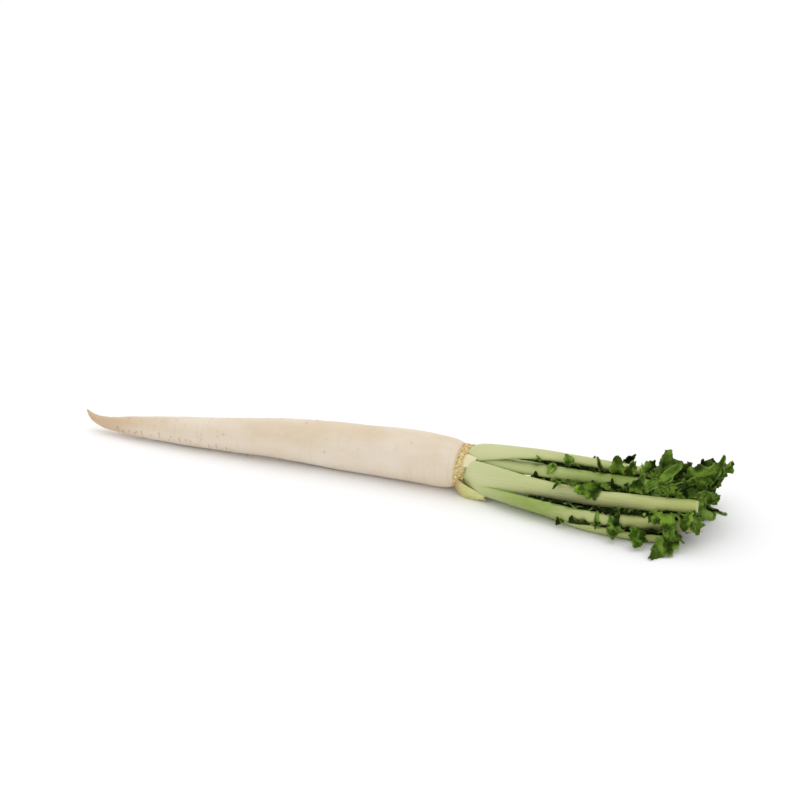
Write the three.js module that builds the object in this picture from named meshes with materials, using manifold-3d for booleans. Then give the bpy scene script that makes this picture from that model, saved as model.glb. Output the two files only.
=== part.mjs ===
// A daikon radish with its greens trimmed short, lying on its side on a table.
//
// Millimetres, +Z up. The origin is the centre of the small flat on the root's belly that the
// radish rests on. +X runs along the root, from the tail to the leaves.
//
// The root is one solid with its leaf scars and old stubs. Each of the nine leaves is two nodes:
// petiole_N, the pale stalk, and blade_N, the dark green leafy edge that runs up its inner face
// and carries the toothed lobes.
import * as THREE from "three";
import { mergeVertices } from "three/addons/utils/BufferGeometryUtils.js";
import Module from "manifold-3d";

const wasm = await Module();
wasm.setup();

// ---------------------------------------------------------------- driving dimensions

const CROWN_X = 50; // the plane where the root ends and the leaves begin
const CROWN_Y = -4; // the root bends a little: its axis is this far aside there
const CROWN_Z = 24; // and this high
const CROWN_LEAN = 0.12; // how far the crown plane leans towards the leaves, for each mm up
const LEAN_RUN = 25; // how far down the root that lean fades
const ROOT_SIDES = 22;
const ROOT_RINGS = 30;
const SLOPE_REACH = 2; // how far each way the axis' slope is measured
const CLEARANCE = 0.35; // the gap kept between neighbouring nodes
const BLADE_CLEARANCE = 0.55; // the same round a blade, whose folds bring its faces closer
const FACET = 0.08; // the finest facet kept on the leaves
const GOLDEN_ANGLE = THREE.MathUtils.degToRad(137.5);

// The root's axis and half thickness: [distance from the crown, sideways, height, radius].
const ROOT_STATIONS = [
  [0, -4, 24.0, 18.4],
  [3, -3.8, 23.9, 20.4],
  [9, -3.1, 23.5, 22.4],
  [22, -1.6, 23.0, 23.6],
  [42, -0.3, 23.1, 24.1],
  [60, 0.3, 22.8, 23.8],
  [85, 0.6, 22.1, 23.1],
  [120, 0, 21.9, 22.0],
  [150, -1, 21.6, 20.4],
  [185, -2.4, 20.6, 18.2],
  [220, -3.6, 18.2, 16.3],
  [260, -4.6, 15.6, 14.4],
  [300, -5.2, 13.2, 11.7],
  [330, -5.2, 11.4, 8.9],
  [352, -4.6, 10.2, 6.4],
  [365, -3.6, 11.0, 4.6],
  [374, -2.6, 14.2, 2.8],
  [380, -1.6, 19.5, 0.7],
];

// The short crown and the bud inside it, which the leaves stand round: [distance beyond the
// crown plane, radius].
const BUD_STATIONS = [
  [4, 17.6],
  [8, 16.6],
  [10, 12.5],
  [14, 8.0],
  [18, 3.0],
];
const FOOT_X = 7.5; // how far beyond the crown plane the stalks begin

// The stubs of old leaves round the crown. Two of them are long: a pale one at the top and a
// dry yellow bract that flares out below, each { turn round the crown in degrees, start, long,
// wide, tip as a share of wide, flare, swell, twist }.
const STUB_COUNT = 9;
const STUB_RING = 18.2;
const STUB_THICKNESS = 1.4;
const STUB_START = 2; // how far beyond the crown plane the small stubs begin
const STUB_FLARE = 1.4;
const STUB_SWELL = 0.4; // how much of its flare a stub has a quarter of the way along
const STUBS = {
  1: { turn: 38, start: 4, long: 13, wide: 12, tip: 0.6, flare: 4.5, swell: 0.4, twist: 0 },
  7: { turn: 318, start: 2, long: 29, wide: 18, tip: 0.35, flare: 12, swell: 0.7, twist: 20 },
};

// Leaves from the outermost and oldest to the innermost. ring is how far a stalk's foot stands
// from the crown's middle; base and width are its widths at the foot and past foot, a share of
// its length; at holds [sideways, height] of its middle line at each of STALK_STATIONS and at
// its cut end, end from the crown; reach is the size of its last lobes and pairs how many
// regular pairs it carries.
const STALK_STATIONS = [22, 65, 105, 130, 175];
const LEAVES = [
  { ring: 13.5, base: 28, width: 14.5, foot: 0.4, end: 224, reach: 24, pairs: 0,
    at: [[-19, 25], [-23, 25], [-26, 25], [-28, 25.5], [-30, 29], [-31, 34]] },
  { ring: 13.0, base: 18, width: 12.0, foot: 0.4, end: 221, reach: 30, pairs: 4,
    at: [[16, 32], [23, 30], [27, 28], [28, 26], [31, 25], [33, 25]] },
  { ring: 13.0, base: 12, width: 9.5, foot: 0.4, end: 214, reach: 24, pairs: 0,
    at: [[-9, 7], [-22, 5], [-37, 5], [-45, 5], [-48, 5], [-44, 6.5]] },
  { ring: 13.5, base: 19, width: 12.5, foot: 0.45, end: 219, reach: 34, pairs: 0,
    at: [[-8, 43], [-4, 47], [0, 45.5], [2, 44], [4, 42], [6, 40]] },
  { ring: 13.5, base: 19, width: 12.5, foot: 0.4, end: 222, reach: 36, pairs: 4,
    at: [[21, 20], [31, 17], [38, 15], [42, 14], [47, 12], [50, 11]] },
  { ring: 13.0, base: 14, width: 16.0, foot: 0.25, end: 229, reach: 26, pairs: 0,
    at: [[-17, 12], [-31, 12.2], [-41, 13.2], [-44, 13.5], [-41, 15], [-33, 16.5]] },
  { ring: 7.5, base: 10, width: 9.0, foot: 0.4, end: 218, reach: 30, pairs: 4,
    at: [[4, 32], [8, 30], [9, 27], [9, 26], [9, 25], [9, 24]] },
  { ring: 13.0, base: 15, width: 10.5, foot: 0.4, end: 216, reach: 34, pairs: 4,
    at: [[11, 9], [19, 7], [23, 6.5], [25, 6.5], [27, 6.5], [28, 6.5]] },
  { ring: 7.5, base: 11, width: 13.0, foot: 0.3, end: 220, reach: 24, pairs: 0,
    at: [[-11, 34.5], [-12, 36], [-13, 37], [-13.5, 37.5], [-14, 38.5], [-15, 39]] },
];

const STALK_SIDES = 10;
const STALK_DEPTH = 0.64; // a stalk's thickness as a share of its width
const BLADE_THICKNESS = 0.8;
const LOBE_ROOM = 1.3; // how far a lobe's middle surface keeps from a stalk
const WING_START = 0.3; // where along the stalk its leafy edge begins
const WING_EDGE = 4.0; // how far the leafy edge stands out past the stalk
const LOBE_FACE = [0.3, -0.85, 0.4]; // the way the lobes placed by hand face

// The lobes that lie where the leaves were pressed against the table and each other: the leaf
// they grow on, how far up its stalk, which edge, where the tip ends, the width and the curl.
const PLACED_LOBES = [
  { leaf: 3, up: 0.33, edge: 1, tip: [123, -11, 50], width: 3, curl: 0.2 },
  { leaf: 3, up: 0.39, edge: 1, tip: [136, -20, 37], width: 8, curl: 0.3 },
  { leaf: 8, up: 0.42, edge: 1, tip: [145, -35, 31], width: 6, curl: 1.7 },
  { leaf: 3, up: 0.46, edge: 1, tip: [149, -9, 54], width: 10, curl: 0.9 },
  { leaf: 3, up: 0.59, edge: 1, tip: [178, -8, 56], width: 9, curl: 1.2 },
  { leaf: 3, up: 0.65, edge: 1, tip: [195, -6, 59], width: 17, curl: 0.6 },
  { leaf: 8, up: 0.52, edge: 1, tip: [151, -28, 36], width: 9, curl: 0.8 },
  { leaf: 8, up: 0.62, edge: 1, tip: [165, -36, 35], width: 17, curl: 0.9 },
  { leaf: 8, up: 0.7, edge: 1, tip: [186, -27, 38], width: 10, curl: -0.7 },
  { leaf: 8, up: 0.74, edge: 1, tip: [223, -23, 55], width: 14, curl: 0.8 },
  { leaf: 3, up: 0.77, edge: 1, tip: [227, -9, 60], width: 15, curl: -0.8 },
  { leaf: 3, up: 0.85, edge: 1, tip: [237, -2, 69], width: 21, curl: 1.2 },
  { leaf: 8, up: 0.8, edge: 1, tip: [256, -21, 67], width: 17, curl: -0.5 },
  { leaf: 3, up: 0.96, edge: 1, tip: [283, -14, 70], width: 28, curl: 0.6 },
  { leaf: 1, up: 0.97, edge: -1, tip: [287, 10, 67], width: 22, curl: 1.1 },
  { leaf: 6, up: 0.97, edge: 1, tip: [289, 2, 50], width: 16, curl: -1.2 },
  { leaf: 8, up: 0.96, edge: 1, tip: [289, -14, 37], width: 18, curl: 0.7 },
  { leaf: 8, up: 0.92, edge: 1, tip: [278, -17, 28], width: 15, curl: 0.5 },
  { leaf: 0, up: 0.8, edge: -1, tip: [250, -24, 50], width: 15, curl: -0.6 },
  { leaf: 0, up: 0.91, edge: -1, tip: [270, -23, 49], width: 17, curl: 0.6 },
  { leaf: 0, up: 0.62, edge: 1, tip: [190, -55, 9], width: 10, curl: 0.5 },
  { leaf: 0, up: 0.8, edge: 1, tip: [256, -52, 22], width: 13, curl: 0.7 },
  { leaf: 5, up: 0.66, edge: -1, tip: [211, -60, 12], width: 12, curl: -1.9 },
  { leaf: 2, up: 0.5, edge: -1, tip: [153, -49, 4], width: 8, curl: 0.5 },
  { leaf: 2, up: 0.83, edge: -1, tip: [227, -65, 3], width: 19, curl: 1.2 },
  { leaf: 2, up: 0.96, edge: -1, tip: [256, -61, 13], width: 26, curl: 1.0 },
  { leaf: 5, up: 0.9, edge: -1, tip: [274, -46, 25], width: 10, curl: 0.7 },
  { leaf: 5, up: 0.96, edge: -1, tip: [277, -42, 12], width: 18, curl: -0.6 },
  { leaf: 2, up: 0.985, edge: -1, tip: [245, -78, 2], width: 22, curl: -0.4 },
];

// ---------------------------------------------------------------- small helpers

const vec = (x, y, z) => new THREE.Vector3(x, y, z);
const lerp = THREE.MathUtils.lerp;
const smooth = (x) => THREE.MathUtils.smoothstep(x, 0, 1);

/** A repeatable draw from 0 to 1 for a whole number. */
const draw = (n) => {
  const s = Math.sin(n * 12.9898 + 4.1414) * 43758.5453;
  return s - Math.floor(s);
};

/** The value at x on a smooth line through rows of [x, value, ...], read from a column. */
function along(rows, x, column) {
  const last = rows.length - 2;
  let i = 0;
  while (i < last && x > rows[i + 1][0]) i++;
  const slope = (k) => {
    const a = rows[Math.max(k - 1, 0)];
    const b = rows[Math.min(k + 1, rows.length - 1)];
    return (b[column] - a[column]) / (b[0] - a[0]);
  };
  const h = rows[i + 1][0] - rows[i][0];
  const u = THREE.MathUtils.clamp((x - rows[i][0]) / h, 0, 1);
  const rise = u * u * (3 - 2 * u);
  return (
    lerp(rows[i][column], rows[i + 1][column], rise) +
    h * u * (1 - u) * ((1 - u) * slope(i) - u * slope(i + 1))
  );
}

/** A closed solid from points and triangles, turned to face outwards. */
function solidFrom(points, triangles) {
  const make = (order) =>
    new wasm.Manifold(
      new wasm.Mesh({
        numProp: 3,
        vertProperties: new Float32Array(points.flatMap((p) => [p.x, p.y, p.z])),
        triVerts: new Uint32Array(order),
      }),
    );
  const solid = make(triangles);
  if (solid.volume() > 0) return solid;
  return make(triangles.map((_, i) => triangles[i - (i % 3) + 2 - (i % 3)]));
}

/** A solid through rings of equally many points, closed by a fan at each end. */
function loft(rings) {
  const sides = rings[0].length;
  const points = rings.flat();
  const triangles = [];
  for (let r = 0; r + 1 < rings.length; r++) {
    for (let s = 0; s < sides; s++) {
      const a = r * sides + s;
      const b = r * sides + ((s + 1) % sides);
      triangles.push(a, b, a + sides, b, b + sides, a + sides);
    }
  }
  for (const [r, turn] of [[0, 1], [rings.length - 1, -1]]) {
    const hub = points.length;
    points.push(rings[r].reduce((sum, p) => sum.add(p), vec(0, 0, 0)).divideScalar(sides));
    for (let s = 0; s < sides; s++) {
      const pair = [r * sides + s, r * sides + ((s + 1) % sides)];
      triangles.push(hub, pair[turn > 0 ? 1 : 0], pair[turn > 0 ? 0 : 1]);
    }
  }
  return solidFrom(points, triangles);
}

/** A thin solid round a grid of mid-surface points, both faces split alike; grow enlarges it. */
function thinSolid(grid, thickness, grow = 0) {
  const rows = grid.length;
  const cols = grid[0].length;
  const clampRow = (r) => Math.min(Math.max(r, 0), rows - 1);
  const clampCol = (c) => Math.min(Math.max(c, 0), cols - 1);
  const normalAt = (r, c) => {
    const lengthwise = grid[clampRow(r + 1)][c].clone().sub(grid[clampRow(r - 1)][c]);
    const across = grid[r][clampCol(c + 1)].clone().sub(grid[r][clampCol(c - 1)]);
    return lengthwise.cross(across).normalize();
  };
  const widened = (r, c) => {
    const p = grid[r][c].clone();
    const inRow = r === 0 ? 1 : r === rows - 1 ? r - 1 : r;
    const inCol = c === 0 ? 1 : c === cols - 1 ? c - 1 : c;
    if (inRow !== r) p.addScaledVector(grid[r][c].clone().sub(grid[inRow][c]).normalize(), grow);
    if (inCol !== c) p.addScaledVector(grid[r][c].clone().sub(grid[r][inCol]).normalize(), grow);
    return p;
  };
  const points = [];
  for (const side of [0.5, -0.5]) {
    for (let r = 0; r < rows; r++) {
      for (let c = 0; c < cols; c++) {
        const p = widened(r, c).addScaledVector(normalAt(r, c), side * (thickness + 2 * grow));
        points.push(p.setZ(Math.max(p.z, 0)));
      }
    }
  }
  const bottom = rows * cols;
  const triangles = [];
  const quad = (a, b, c, d) => triangles.push(a, b, c, b, d, c);
  for (let r = 0; r + 1 < rows; r++) {
    for (let c = 0; c + 1 < cols; c++) {
      const a = r * cols + c;
      triangles.push(a, a + 1, a + cols, a + 1, a + cols + 1, a + cols);
      const b = a + bottom;
      triangles.push(b, b + cols, b + 1, b + 1, b + cols, b + cols + 1);
    }
    const left = r * cols;
    const right = left + cols - 1;
    quad(left, left + cols, left + bottom, left + cols + bottom);
    quad(right + cols, right, right + cols + bottom, right + bottom);
  }
  const head = (rows - 1) * cols;
  for (let c = 0; c + 1 < cols; c++) {
    quad(c + 1, c, c + 1 + bottom, c + bottom);
    quad(head + c, head + c + 1, head + c + bottom, head + c + 1 + bottom);
  }
  return solidFrom(points, triangles);
}

/** The biggest connected piece of a solid: what a cut leaves loose is dropped. */
function mainPiece(solid) {
  const pieces = solid.decompose();
  return pieces.reduce((best, p) => (p.volume() > best.volume() ? p : best));
}

// ---------------------------------------------------------------- the root

/** Half thickness of the root at a distance from the crown, with the swellings of a grown root. */
function rootRadius(distance, turn) {
  const r = along(ROOT_STATIONS, distance, 3);
  const lumps =
    0.010 * Math.sin(2 * turn + distance / 31) + 0.007 * Math.sin(3 * turn - distance / 19 + 1.3);
  const rings = 0.004 * Math.sin(distance / 4.7) * smooth((distance - 180) / 90);
  return r * (1 + (lumps + rings) * smooth(distance / 30));
}

/** The root, with the bud that the leaves stand round; grow makes it larger all over. */
function rootSolid(grow) {
  const length = ROOT_STATIONS.at(-1)[0];
  const rings = [];
  const ring = (x, y, z, radiusAt, tilt) => {
    const points = [];
    for (let s = 0; s < ROOT_SIDES; s++) {
      const turn = ((s + 0.5) / ROOT_SIDES) * 2 * Math.PI - Math.PI / 2;
      const r = radiusAt(turn) + grow;
      const up = r * Math.sin(turn);
      const p = vec(x - up * Math.sin(tilt), y + r * Math.cos(turn), z + up * Math.cos(tilt));
      points.push(p.setZ(Math.max(p.z, -grow)));
    }
    rings.push(points);
  };
  for (let i = 0; i <= ROOT_RINGS; i++) {
    const share = 1 - i / ROOT_RINGS;
    const distance = length * share;
    const y = along(ROOT_STATIONS, distance, 1);
    const z = along(ROOT_STATIONS, distance, 2);
    const before = Math.max(distance - SLOPE_REACH, 0);
    const after = Math.min(distance + SLOPE_REACH, length);
    const rise = along(ROOT_STATIONS, before, 2) - along(ROOT_STATIONS, after, 2);
    const lean = CROWN_LEAN * (1 - smooth(distance / LEAN_RUN));
    const tilt = Math.atan2(rise, 2 * SLOPE_REACH) - lean;
    ring(CROWN_X - distance, y, z, (turn) => rootRadius(distance, turn), tilt);
  }
  for (const [beyond, radius] of BUD_STATIONS) {
    ring(CROWN_X + beyond + grow, CROWN_Y, CROWN_Z, () => radius, -CROWN_LEAN);
  }
  return loft(rings);
}

/** Short cut stubs and dry scales of leaves that have gone, in a ring round the crown. */
function stubs(grow) {
  const made = [];
  for (let n = 0; n < STUB_COUNT; n++) {
    const small = {
      turn: ((n + 0.35 * draw(n + 3)) / STUB_COUNT) * 360,
      start: STUB_START,
      long: 4 + 4 * draw(n + 40),
      wide: 6 + 4 * draw(n + 80),
      tip: 0.5,
      flare: STUB_FLARE,
      swell: STUB_SWELL,
      twist: 0,
    };
    const stub = STUBS[n] ?? small;
    const turn = THREE.MathUtils.degToRad(stub.turn);
    const across = THREE.MathUtils.degToRad(stub.turn + stub.twist);
    const out = vec(0, -Math.cos(turn), Math.sin(turn));
    const side = vec(0, Math.sin(across), Math.cos(across));
    const grid = [
      [-0.2, 0.7, -1.6],
      [0.25, 1, stub.swell * stub.flare],
      [1, stub.tip, stub.flare],
    ].map(([share, width, lift]) =>
      [-1, 0, 1].map((v) => {
        const p = vec(CROWN_X + stub.start + stub.long * share, CROWN_Y, CROWN_Z)
          .addScaledVector(out, STUB_RING + lift - Math.abs(v) * stub.wide * 0.1)
          .addScaledVector(side, (v * stub.wide * width) / 2);
        return p.setX(p.x + CROWN_LEAN * (p.z - CROWN_Z));
      }),
    );
    made.push(thinSolid(grid, STUB_THICKNESS, grow));
  }
  return wasm.Manifold.union(made);
}

// ---------------------------------------------------------------- the stalks

/** Where a leaf's stalk starts on the crown: each one a golden angle on from the last. */
const footAngle = (n) => n * GOLDEN_ANGLE;

/** The middle line of a leaf's stalk. */
const stalkLines = LEAVES.map((leaf, n) => {
  const turn = footAngle(n);
  const rise = Math.sin(turn) * leaf.ring;
  const foot = vec(FOOT_X + CROWN_LEAN * rise, -Math.cos(turn) * leaf.ring, CROWN_Z + rise);
  const rest = leaf.at.map(([y, z], i) => vec(STALK_STATIONS[i] ?? leaf.end, y, z));
  const points = [foot, ...rest].map((p) => p.add(vec(CROWN_X, CROWN_Y, 0)));
  return new THREE.CatmullRomCurve3(points, false, "catmullrom", 0.5);
});

/** A leaf stalk's middle, its outward and sideways directions, and its half width and depth. */
function stalkAt(n, share) {
  const leaf = LEAVES[n];
  const line = stalkLines[n];
  const middle = line.getPointAt(share);
  const forward = line.getTangentAt(share);
  const turn = footAngle(n);
  const radial = vec(0, -Math.cos(turn), Math.sin(turn));
  const away = vec(0, (middle.y - CROWN_Y) / 2, middle.z - CROWN_Z + 2).normalize();
  const out = radial.lerp(away, smooth(share / 0.3));
  out.addScaledVector(forward, -out.dot(forward)).normalize();
  const side = forward.clone().cross(out).normalize();
  const thinning = 1 - 0.14 * smooth((share - 0.5) / 0.5);
  const width = lerp(leaf.base, leaf.width, smooth(share / leaf.foot)) * thinning;
  const neck = 0.7 + 0.3 * smooth(share / 0.07);
  const depth = STALK_DEPTH * leaf.width * thinning;
  return { middle, forward, out, side, halfWidth: (width * neck) / 2, halfDepth: (depth * neck) / 2 };
}

/** A point on a stalk's skin: rounded outside, nearly flat with a shallow groove inside. */
function stalkSkin(at, turn, grow) {
  const across = Math.cos(turn);
  const up = Math.sin(turn);
  const groove = up < 0 ? 0.35 * (1 - across * across) : 0;
  return at.middle
    .clone()
    .addScaledVector(at.side, across * (at.halfWidth + grow))
    .addScaledVector(at.out, up * (1 - groove) * (at.halfDepth + grow));
}

/** The solid of a leaf's stalk, with a blunt cut end; grow makes it larger all over. */
function stalkSolid(n, grow) {
  const shares = [0, 0.02, 0.05, 0.09, 0.15, 0.22, 0.3, 0.4, 0.5, 0.6, 0.7, 0.8, 0.9, 0.975, 1];
  const rings = shares.map((share) => {
    const at = stalkAt(n, share);
    const ends = share === 0 ? -grow : share === 1 ? grow : 0;
    at.middle.addScaledVector(at.forward, ends);
    if (share === 1) {
      at.halfWidth *= 0.84;
      at.halfDepth *= 0.8;
    }
    return Array.from({ length: STALK_SIDES }, (_, s) => {
      const p = stalkSkin(at, (s / STALK_SIDES) * 2 * Math.PI, grow);
      return p.setZ(Math.max(p.z, 0));
    });
  });
  return loft(rings);
}

// ---------------------------------------------------------------- the blades

const STALK_SAMPLES = 40;
const stalkSamples = LEAVES.map((_, n) =>
  Array.from({ length: STALK_SAMPLES }, (_, i) => stalkAt(n, i / (STALK_SAMPLES - 1))),
);

/** Moves a point of a lobe of leaf n out of every stalk and off the table; free is 0 at its root. */
function settle(point, n, free) {
  for (let round = 0; round < 2; round++) {
    stalkSamples.forEach((samples, k) => {
      let near = samples[0];
      for (const s of samples) {
        if (s.middle.distanceToSquared(point) < near.middle.distanceToSquared(point)) near = s;
      }
      const off = point.clone().sub(near.middle);
      const loose = k === n ? smooth(free / 0.4) : 1;
      const across = off.dot(near.side) / ((near.halfWidth + LOBE_ROOM) * loose + 1e-6);
      const up = off.dot(near.out) / ((near.halfDepth + LOBE_ROOM) * loose + 1e-6);
      const depth = Math.hypot(across, up);
      if (depth < 1 && off.length() < near.halfWidth + LOBE_ROOM) {
        const push = 1 / Math.max(depth, 0.2) - 1;
        point.addScaledVector(near.side, off.dot(near.side) * push);
        point.addScaledVector(near.out, off.dot(near.out) * push);
      }
    });
  }
  return point.setZ(Math.max(point.z, BLADE_THICKNESS / 2));
}

/** A point of the leafy edge of leaf n: v is 0 under its stalk and -1 and 1 at the two rims. */
function wingPoint(n, share, v) {
  const at = stalkAt(n, share);
  const waved = 1 + 0.25 * Math.sin(31 * share + n);
  const rim = lerp(1.8, WING_EDGE, smooth((share - WING_START) / 0.4)) * waved;
  const under = -at.halfDepth - CLEARANCE - BLADE_THICKNESS / 2 - 0.6;
  return at.middle
    .addScaledVector(at.side, v * (at.halfWidth + rim))
    .addScaledVector(at.out, lerp(under, -0.3 * at.halfDepth - 1.0, Math.abs(v)));
}

/** How wide a lobe is along its length, from its narrow root to its tip, as a share of its width. */
const lobeOutline = (s) => (0.3 + 0.7 * Math.sin(Math.PI * s ** 0.8)) * (1 - 0.75 * s ** 4);

/** One toothed, arched and waved lobe of leaf n. */
function lobeSolid(n, lobe, grow) {
  const rows = 2 * lobe.teeth + 1;
  const across = lobe.face.clone().cross(lobe.heading).normalize();
  const grid = [];
  for (let r = 0; r <= rows; r++) {
    const tooth = r % 2 === 1 && r < rows;
    grid.push(
      [-1, 0, 1].map((v) => {
        const s = Math.min(r / rows + (tooth && v ? 0.05 : 0), 1);
        const bend = lobe.curl * s;
        const run = Math.abs(lobe.curl) < 1e-3 ? s : Math.sin(bend) / lobe.curl;
        const drop = Math.abs(lobe.curl) < 1e-3 ? 0 : (Math.cos(bend) - 1) / lobe.curl;
        const normal = lobe.face
          .clone()
          .multiplyScalar(Math.cos(bend))
          .addScaledVector(lobe.heading, Math.sin(bend));
        const half = (lobe.width / 2) * lobeOutline(r / rows) * (tooth ? 1.08 : 0.76);
        const swing = Math.sin(lobe.ripples * s + lobe.phase + (v > 0 ? 1.9 : 0));
        const ripple = lobe.wave * swing * v * v * s;
        const p = lobe.root
          .clone()
          .addScaledVector(lobe.heading, lobe.length * run)
          .addScaledVector(lobe.face, lobe.length * drop)
          .addScaledVector(across, v * half * Math.cos(lobe.fold))
          .addScaledVector(normal, Math.abs(v) * half * Math.sin(lobe.fold) + ripple);
        return settle(p, n, s);
      }),
    );
  }
  return thinSolid(grid, BLADE_THICKNESS, grow);
}

/** A lobe of leaf n on one edge of its stalk, from its root by a step or to a tip. */
function lobeOn(n, { share, hand, seed, step, tip, facing, width, curl }) {
  const root = wingPoint(n, share, 0.9 * hand);
  const chord = tip ? tip.clone().sub(root) : step.clone();
  const length = (chord.length() * (curl / 2)) / Math.sin(curl / 2);
  chord.normalize();
  const flat = facing.clone().addScaledVector(chord, -facing.dot(chord)).normalize();
  return {
    root,
    heading: chord.clone().multiplyScalar(Math.cos(curl / 2)).addScaledVector(flat, Math.sin(curl / 2)),
    face: flat.clone().multiplyScalar(Math.cos(curl / 2)).addScaledVector(chord, -Math.sin(curl / 2)),
    length,
    width,
    curl,
    fold: lerp(0.1, 0.5, draw(seed + 7)),
    wave: length * lerp(0.05, 0.11, draw(seed + 8)),
    ripples: lerp(7, 11, draw(seed + 9)),
    phase: 6.3 * draw(seed + 10),
    teeth: length > 20 ? 3 : length > 11 ? 2 : 1,
  };
}

/** The lobes of leaf n: regular pairs up the stalk, small ones first, and those in PLACED_LOBES. */
function lobesOf(n) {
  const made = [];
  const leaf = LEAVES[n];
  for (let pair = 0; pair < leaf.pairs; pair++) {
    for (const hand of [-1, 1]) {
      const seed = n * 100 + pair * 10 + hand;
      const up = Math.min((pair + 0.5 * draw(seed)) / (leaf.pairs - 0.6), 1);
      const share = lerp(WING_START + 0.1, 0.965, up);
      const at = stalkAt(n, share);
      const length = lerp(9, leaf.reach, up ** 1.4) * lerp(0.85, 1.15, draw(seed + 1));
      const step = at.side
        .clone()
        .multiplyScalar(hand * lerp(0.85, 0.4, up))
        .addScaledVector(at.forward, lerp(0.45, 0.95, up * draw(seed + 2)))
        .addScaledVector(at.out, lerp(-0.25, 0.4, draw(seed + 3)))
        .setLength(length);
      const facing = at.side
        .clone()
        .multiplyScalar(hand * lerp(-0.4, 0.6, draw(seed + 4)))
        .sub(at.out);
      const width = length * lerp(0.62, 0.85, draw(seed + 5));
      const curl = lerp(-1.0, 1.4, draw(seed + 6));
      made.push(lobeOn(n, { share, hand, seed, step, facing, width, curl }));
    }
  }
  PLACED_LOBES.forEach(({ leaf: owner, up: share, edge: hand, tip: end, width, curl }, i) => {
    if (owner !== n) return;
    const seed = 900 + 7 * i;
    const tip = vec(...end).add(vec(0, CROWN_Y, 0));
    made.push(lobeOn(n, { share, hand, seed, tip, facing: vec(...LOBE_FACE), width, curl }));
  });
  return made;
}

/** The leafy edge that runs up the inner face of stalk n, cupped round it. */
function wingSolid(n, grow) {
  const steps = 9;
  const grid = [];
  for (let i = 0; i <= steps; i++) {
    const share = lerp(WING_START, 0.985, i / steps);
    grid.push([-1, 0, 1].map((v) => wingPoint(n, share, v)));
  }
  return thinSolid(grid, BLADE_THICKNESS, grow);
}

const bladeSolid = (n, grow) =>
  wasm.Manifold.union([wingSolid(n, grow), ...lobesOf(n).map((lobe) => lobeSolid(n, lobe, grow))]);

// ---------------------------------------------------------------- materials

const finish = (color, roughness) => new THREE.MeshStandardMaterial({ color, roughness, metalness: 0 });
const rootSkin = finish(0xeee4d4, 0.45);
const stalkSkinFinish = finish(0xc3cf8c, 0.5);
const bladeFinish = finish(0x3f6b2a, 0.55);

// ---------------------------------------------------------------- the whole radish

const radish = new THREE.Group();

/** Adds a solid's biggest piece to the radish as a named mesh, and gives that piece back. */
function add(name, solid, material) {
  const kept = mainPiece(solid);
  const mesh = kept.getMesh();
  const geometry = new THREE.BufferGeometry();
  geometry.setAttribute("position", new THREE.BufferAttribute(mesh.vertProperties, 3));
  geometry.setIndex(new THREE.BufferAttribute(mesh.triVerts, 1));
  const made = new THREE.Mesh(mergeVertices(geometry), material);
  made.name = name;
  radish.add(made);
  return kept;
}

add("root", rootSolid(0).add(stubs(0)), rootSkin);
const rootRoom = rootSolid(CLEARANCE).add(stubs(CLEARANCE));

// The outer leaves clasp the inner ones: each keeps clear of the root and of those before it.
let taken = rootRoom;
LEAVES.forEach((_, n) => {
  add(`petiole_${n + 1}`, stalkSolid(n, 0).subtract(taken).simplify(FACET), stalkSkinFinish);
  taken = taken.add(stalkSolid(n, CLEARANCE));
});
LEAVES.forEach((_, n) => {
  const kept = add(`blade_${n + 1}`, bladeSolid(n, 0).subtract(taken).simplify(FACET), bladeFinish);
  const above = kept.translate([0, 0, CLEARANCE]);
  const below = kept.translate([0, 0, -CLEARANCE]);
  taken = wasm.Manifold.union([taken, bladeSolid(n, BLADE_CLEARANCE), kept, above, below]);
});

export default radish;
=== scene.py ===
# A daikon radish with its greens trimmed short, lying on its side on a pale table.
#
# Metres, +Z up. The origin is the middle of the small flat on the root's belly, and +X runs
# along the root from the tail to the leaves. Sizes are written in millimetres and become metres
# where a mesh is made. The order is that of the plant: root, crown, rootlets, stalks, leaves.
import math

import bpy
import numpy as np
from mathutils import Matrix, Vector, noise


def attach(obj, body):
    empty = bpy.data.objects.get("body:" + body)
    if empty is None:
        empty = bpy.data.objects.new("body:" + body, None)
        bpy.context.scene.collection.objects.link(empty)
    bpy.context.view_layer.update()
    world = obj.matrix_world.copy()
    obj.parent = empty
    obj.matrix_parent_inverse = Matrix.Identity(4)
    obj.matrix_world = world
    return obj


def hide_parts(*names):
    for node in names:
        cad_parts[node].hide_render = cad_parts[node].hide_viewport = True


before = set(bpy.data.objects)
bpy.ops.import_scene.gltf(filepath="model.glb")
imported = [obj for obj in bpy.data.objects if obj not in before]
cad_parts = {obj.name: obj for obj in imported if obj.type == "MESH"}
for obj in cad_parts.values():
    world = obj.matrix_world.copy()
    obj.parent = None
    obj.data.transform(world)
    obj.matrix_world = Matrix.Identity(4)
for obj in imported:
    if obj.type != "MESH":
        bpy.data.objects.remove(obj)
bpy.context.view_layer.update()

# ---------------------------------------------------------------- the root
# One grown body of firm white flesh under a thin satin skin. It is a loft of round rings along a
# slightly bent axis, with shallow swellings, two rows of scars where side roots came out, a few
# pits, and a thin tail that curls up. Its belly is flat where it lies.

MM = 0.001
CROWN = np.array([50.0, -4.0, 24.0])  # where the root ends and the leaves begin
CROWN_LEAN = 0.12  # how far the crown plane leans towards the leaves, for each mm up
LEAN_RUN = 25  # how far from the crown the lean has died away
SLOPE_REACH = 2  # the slope of the axis is read this far each way
ROOT_SIDES = 180
ROOT_RINGS = 440

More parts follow.
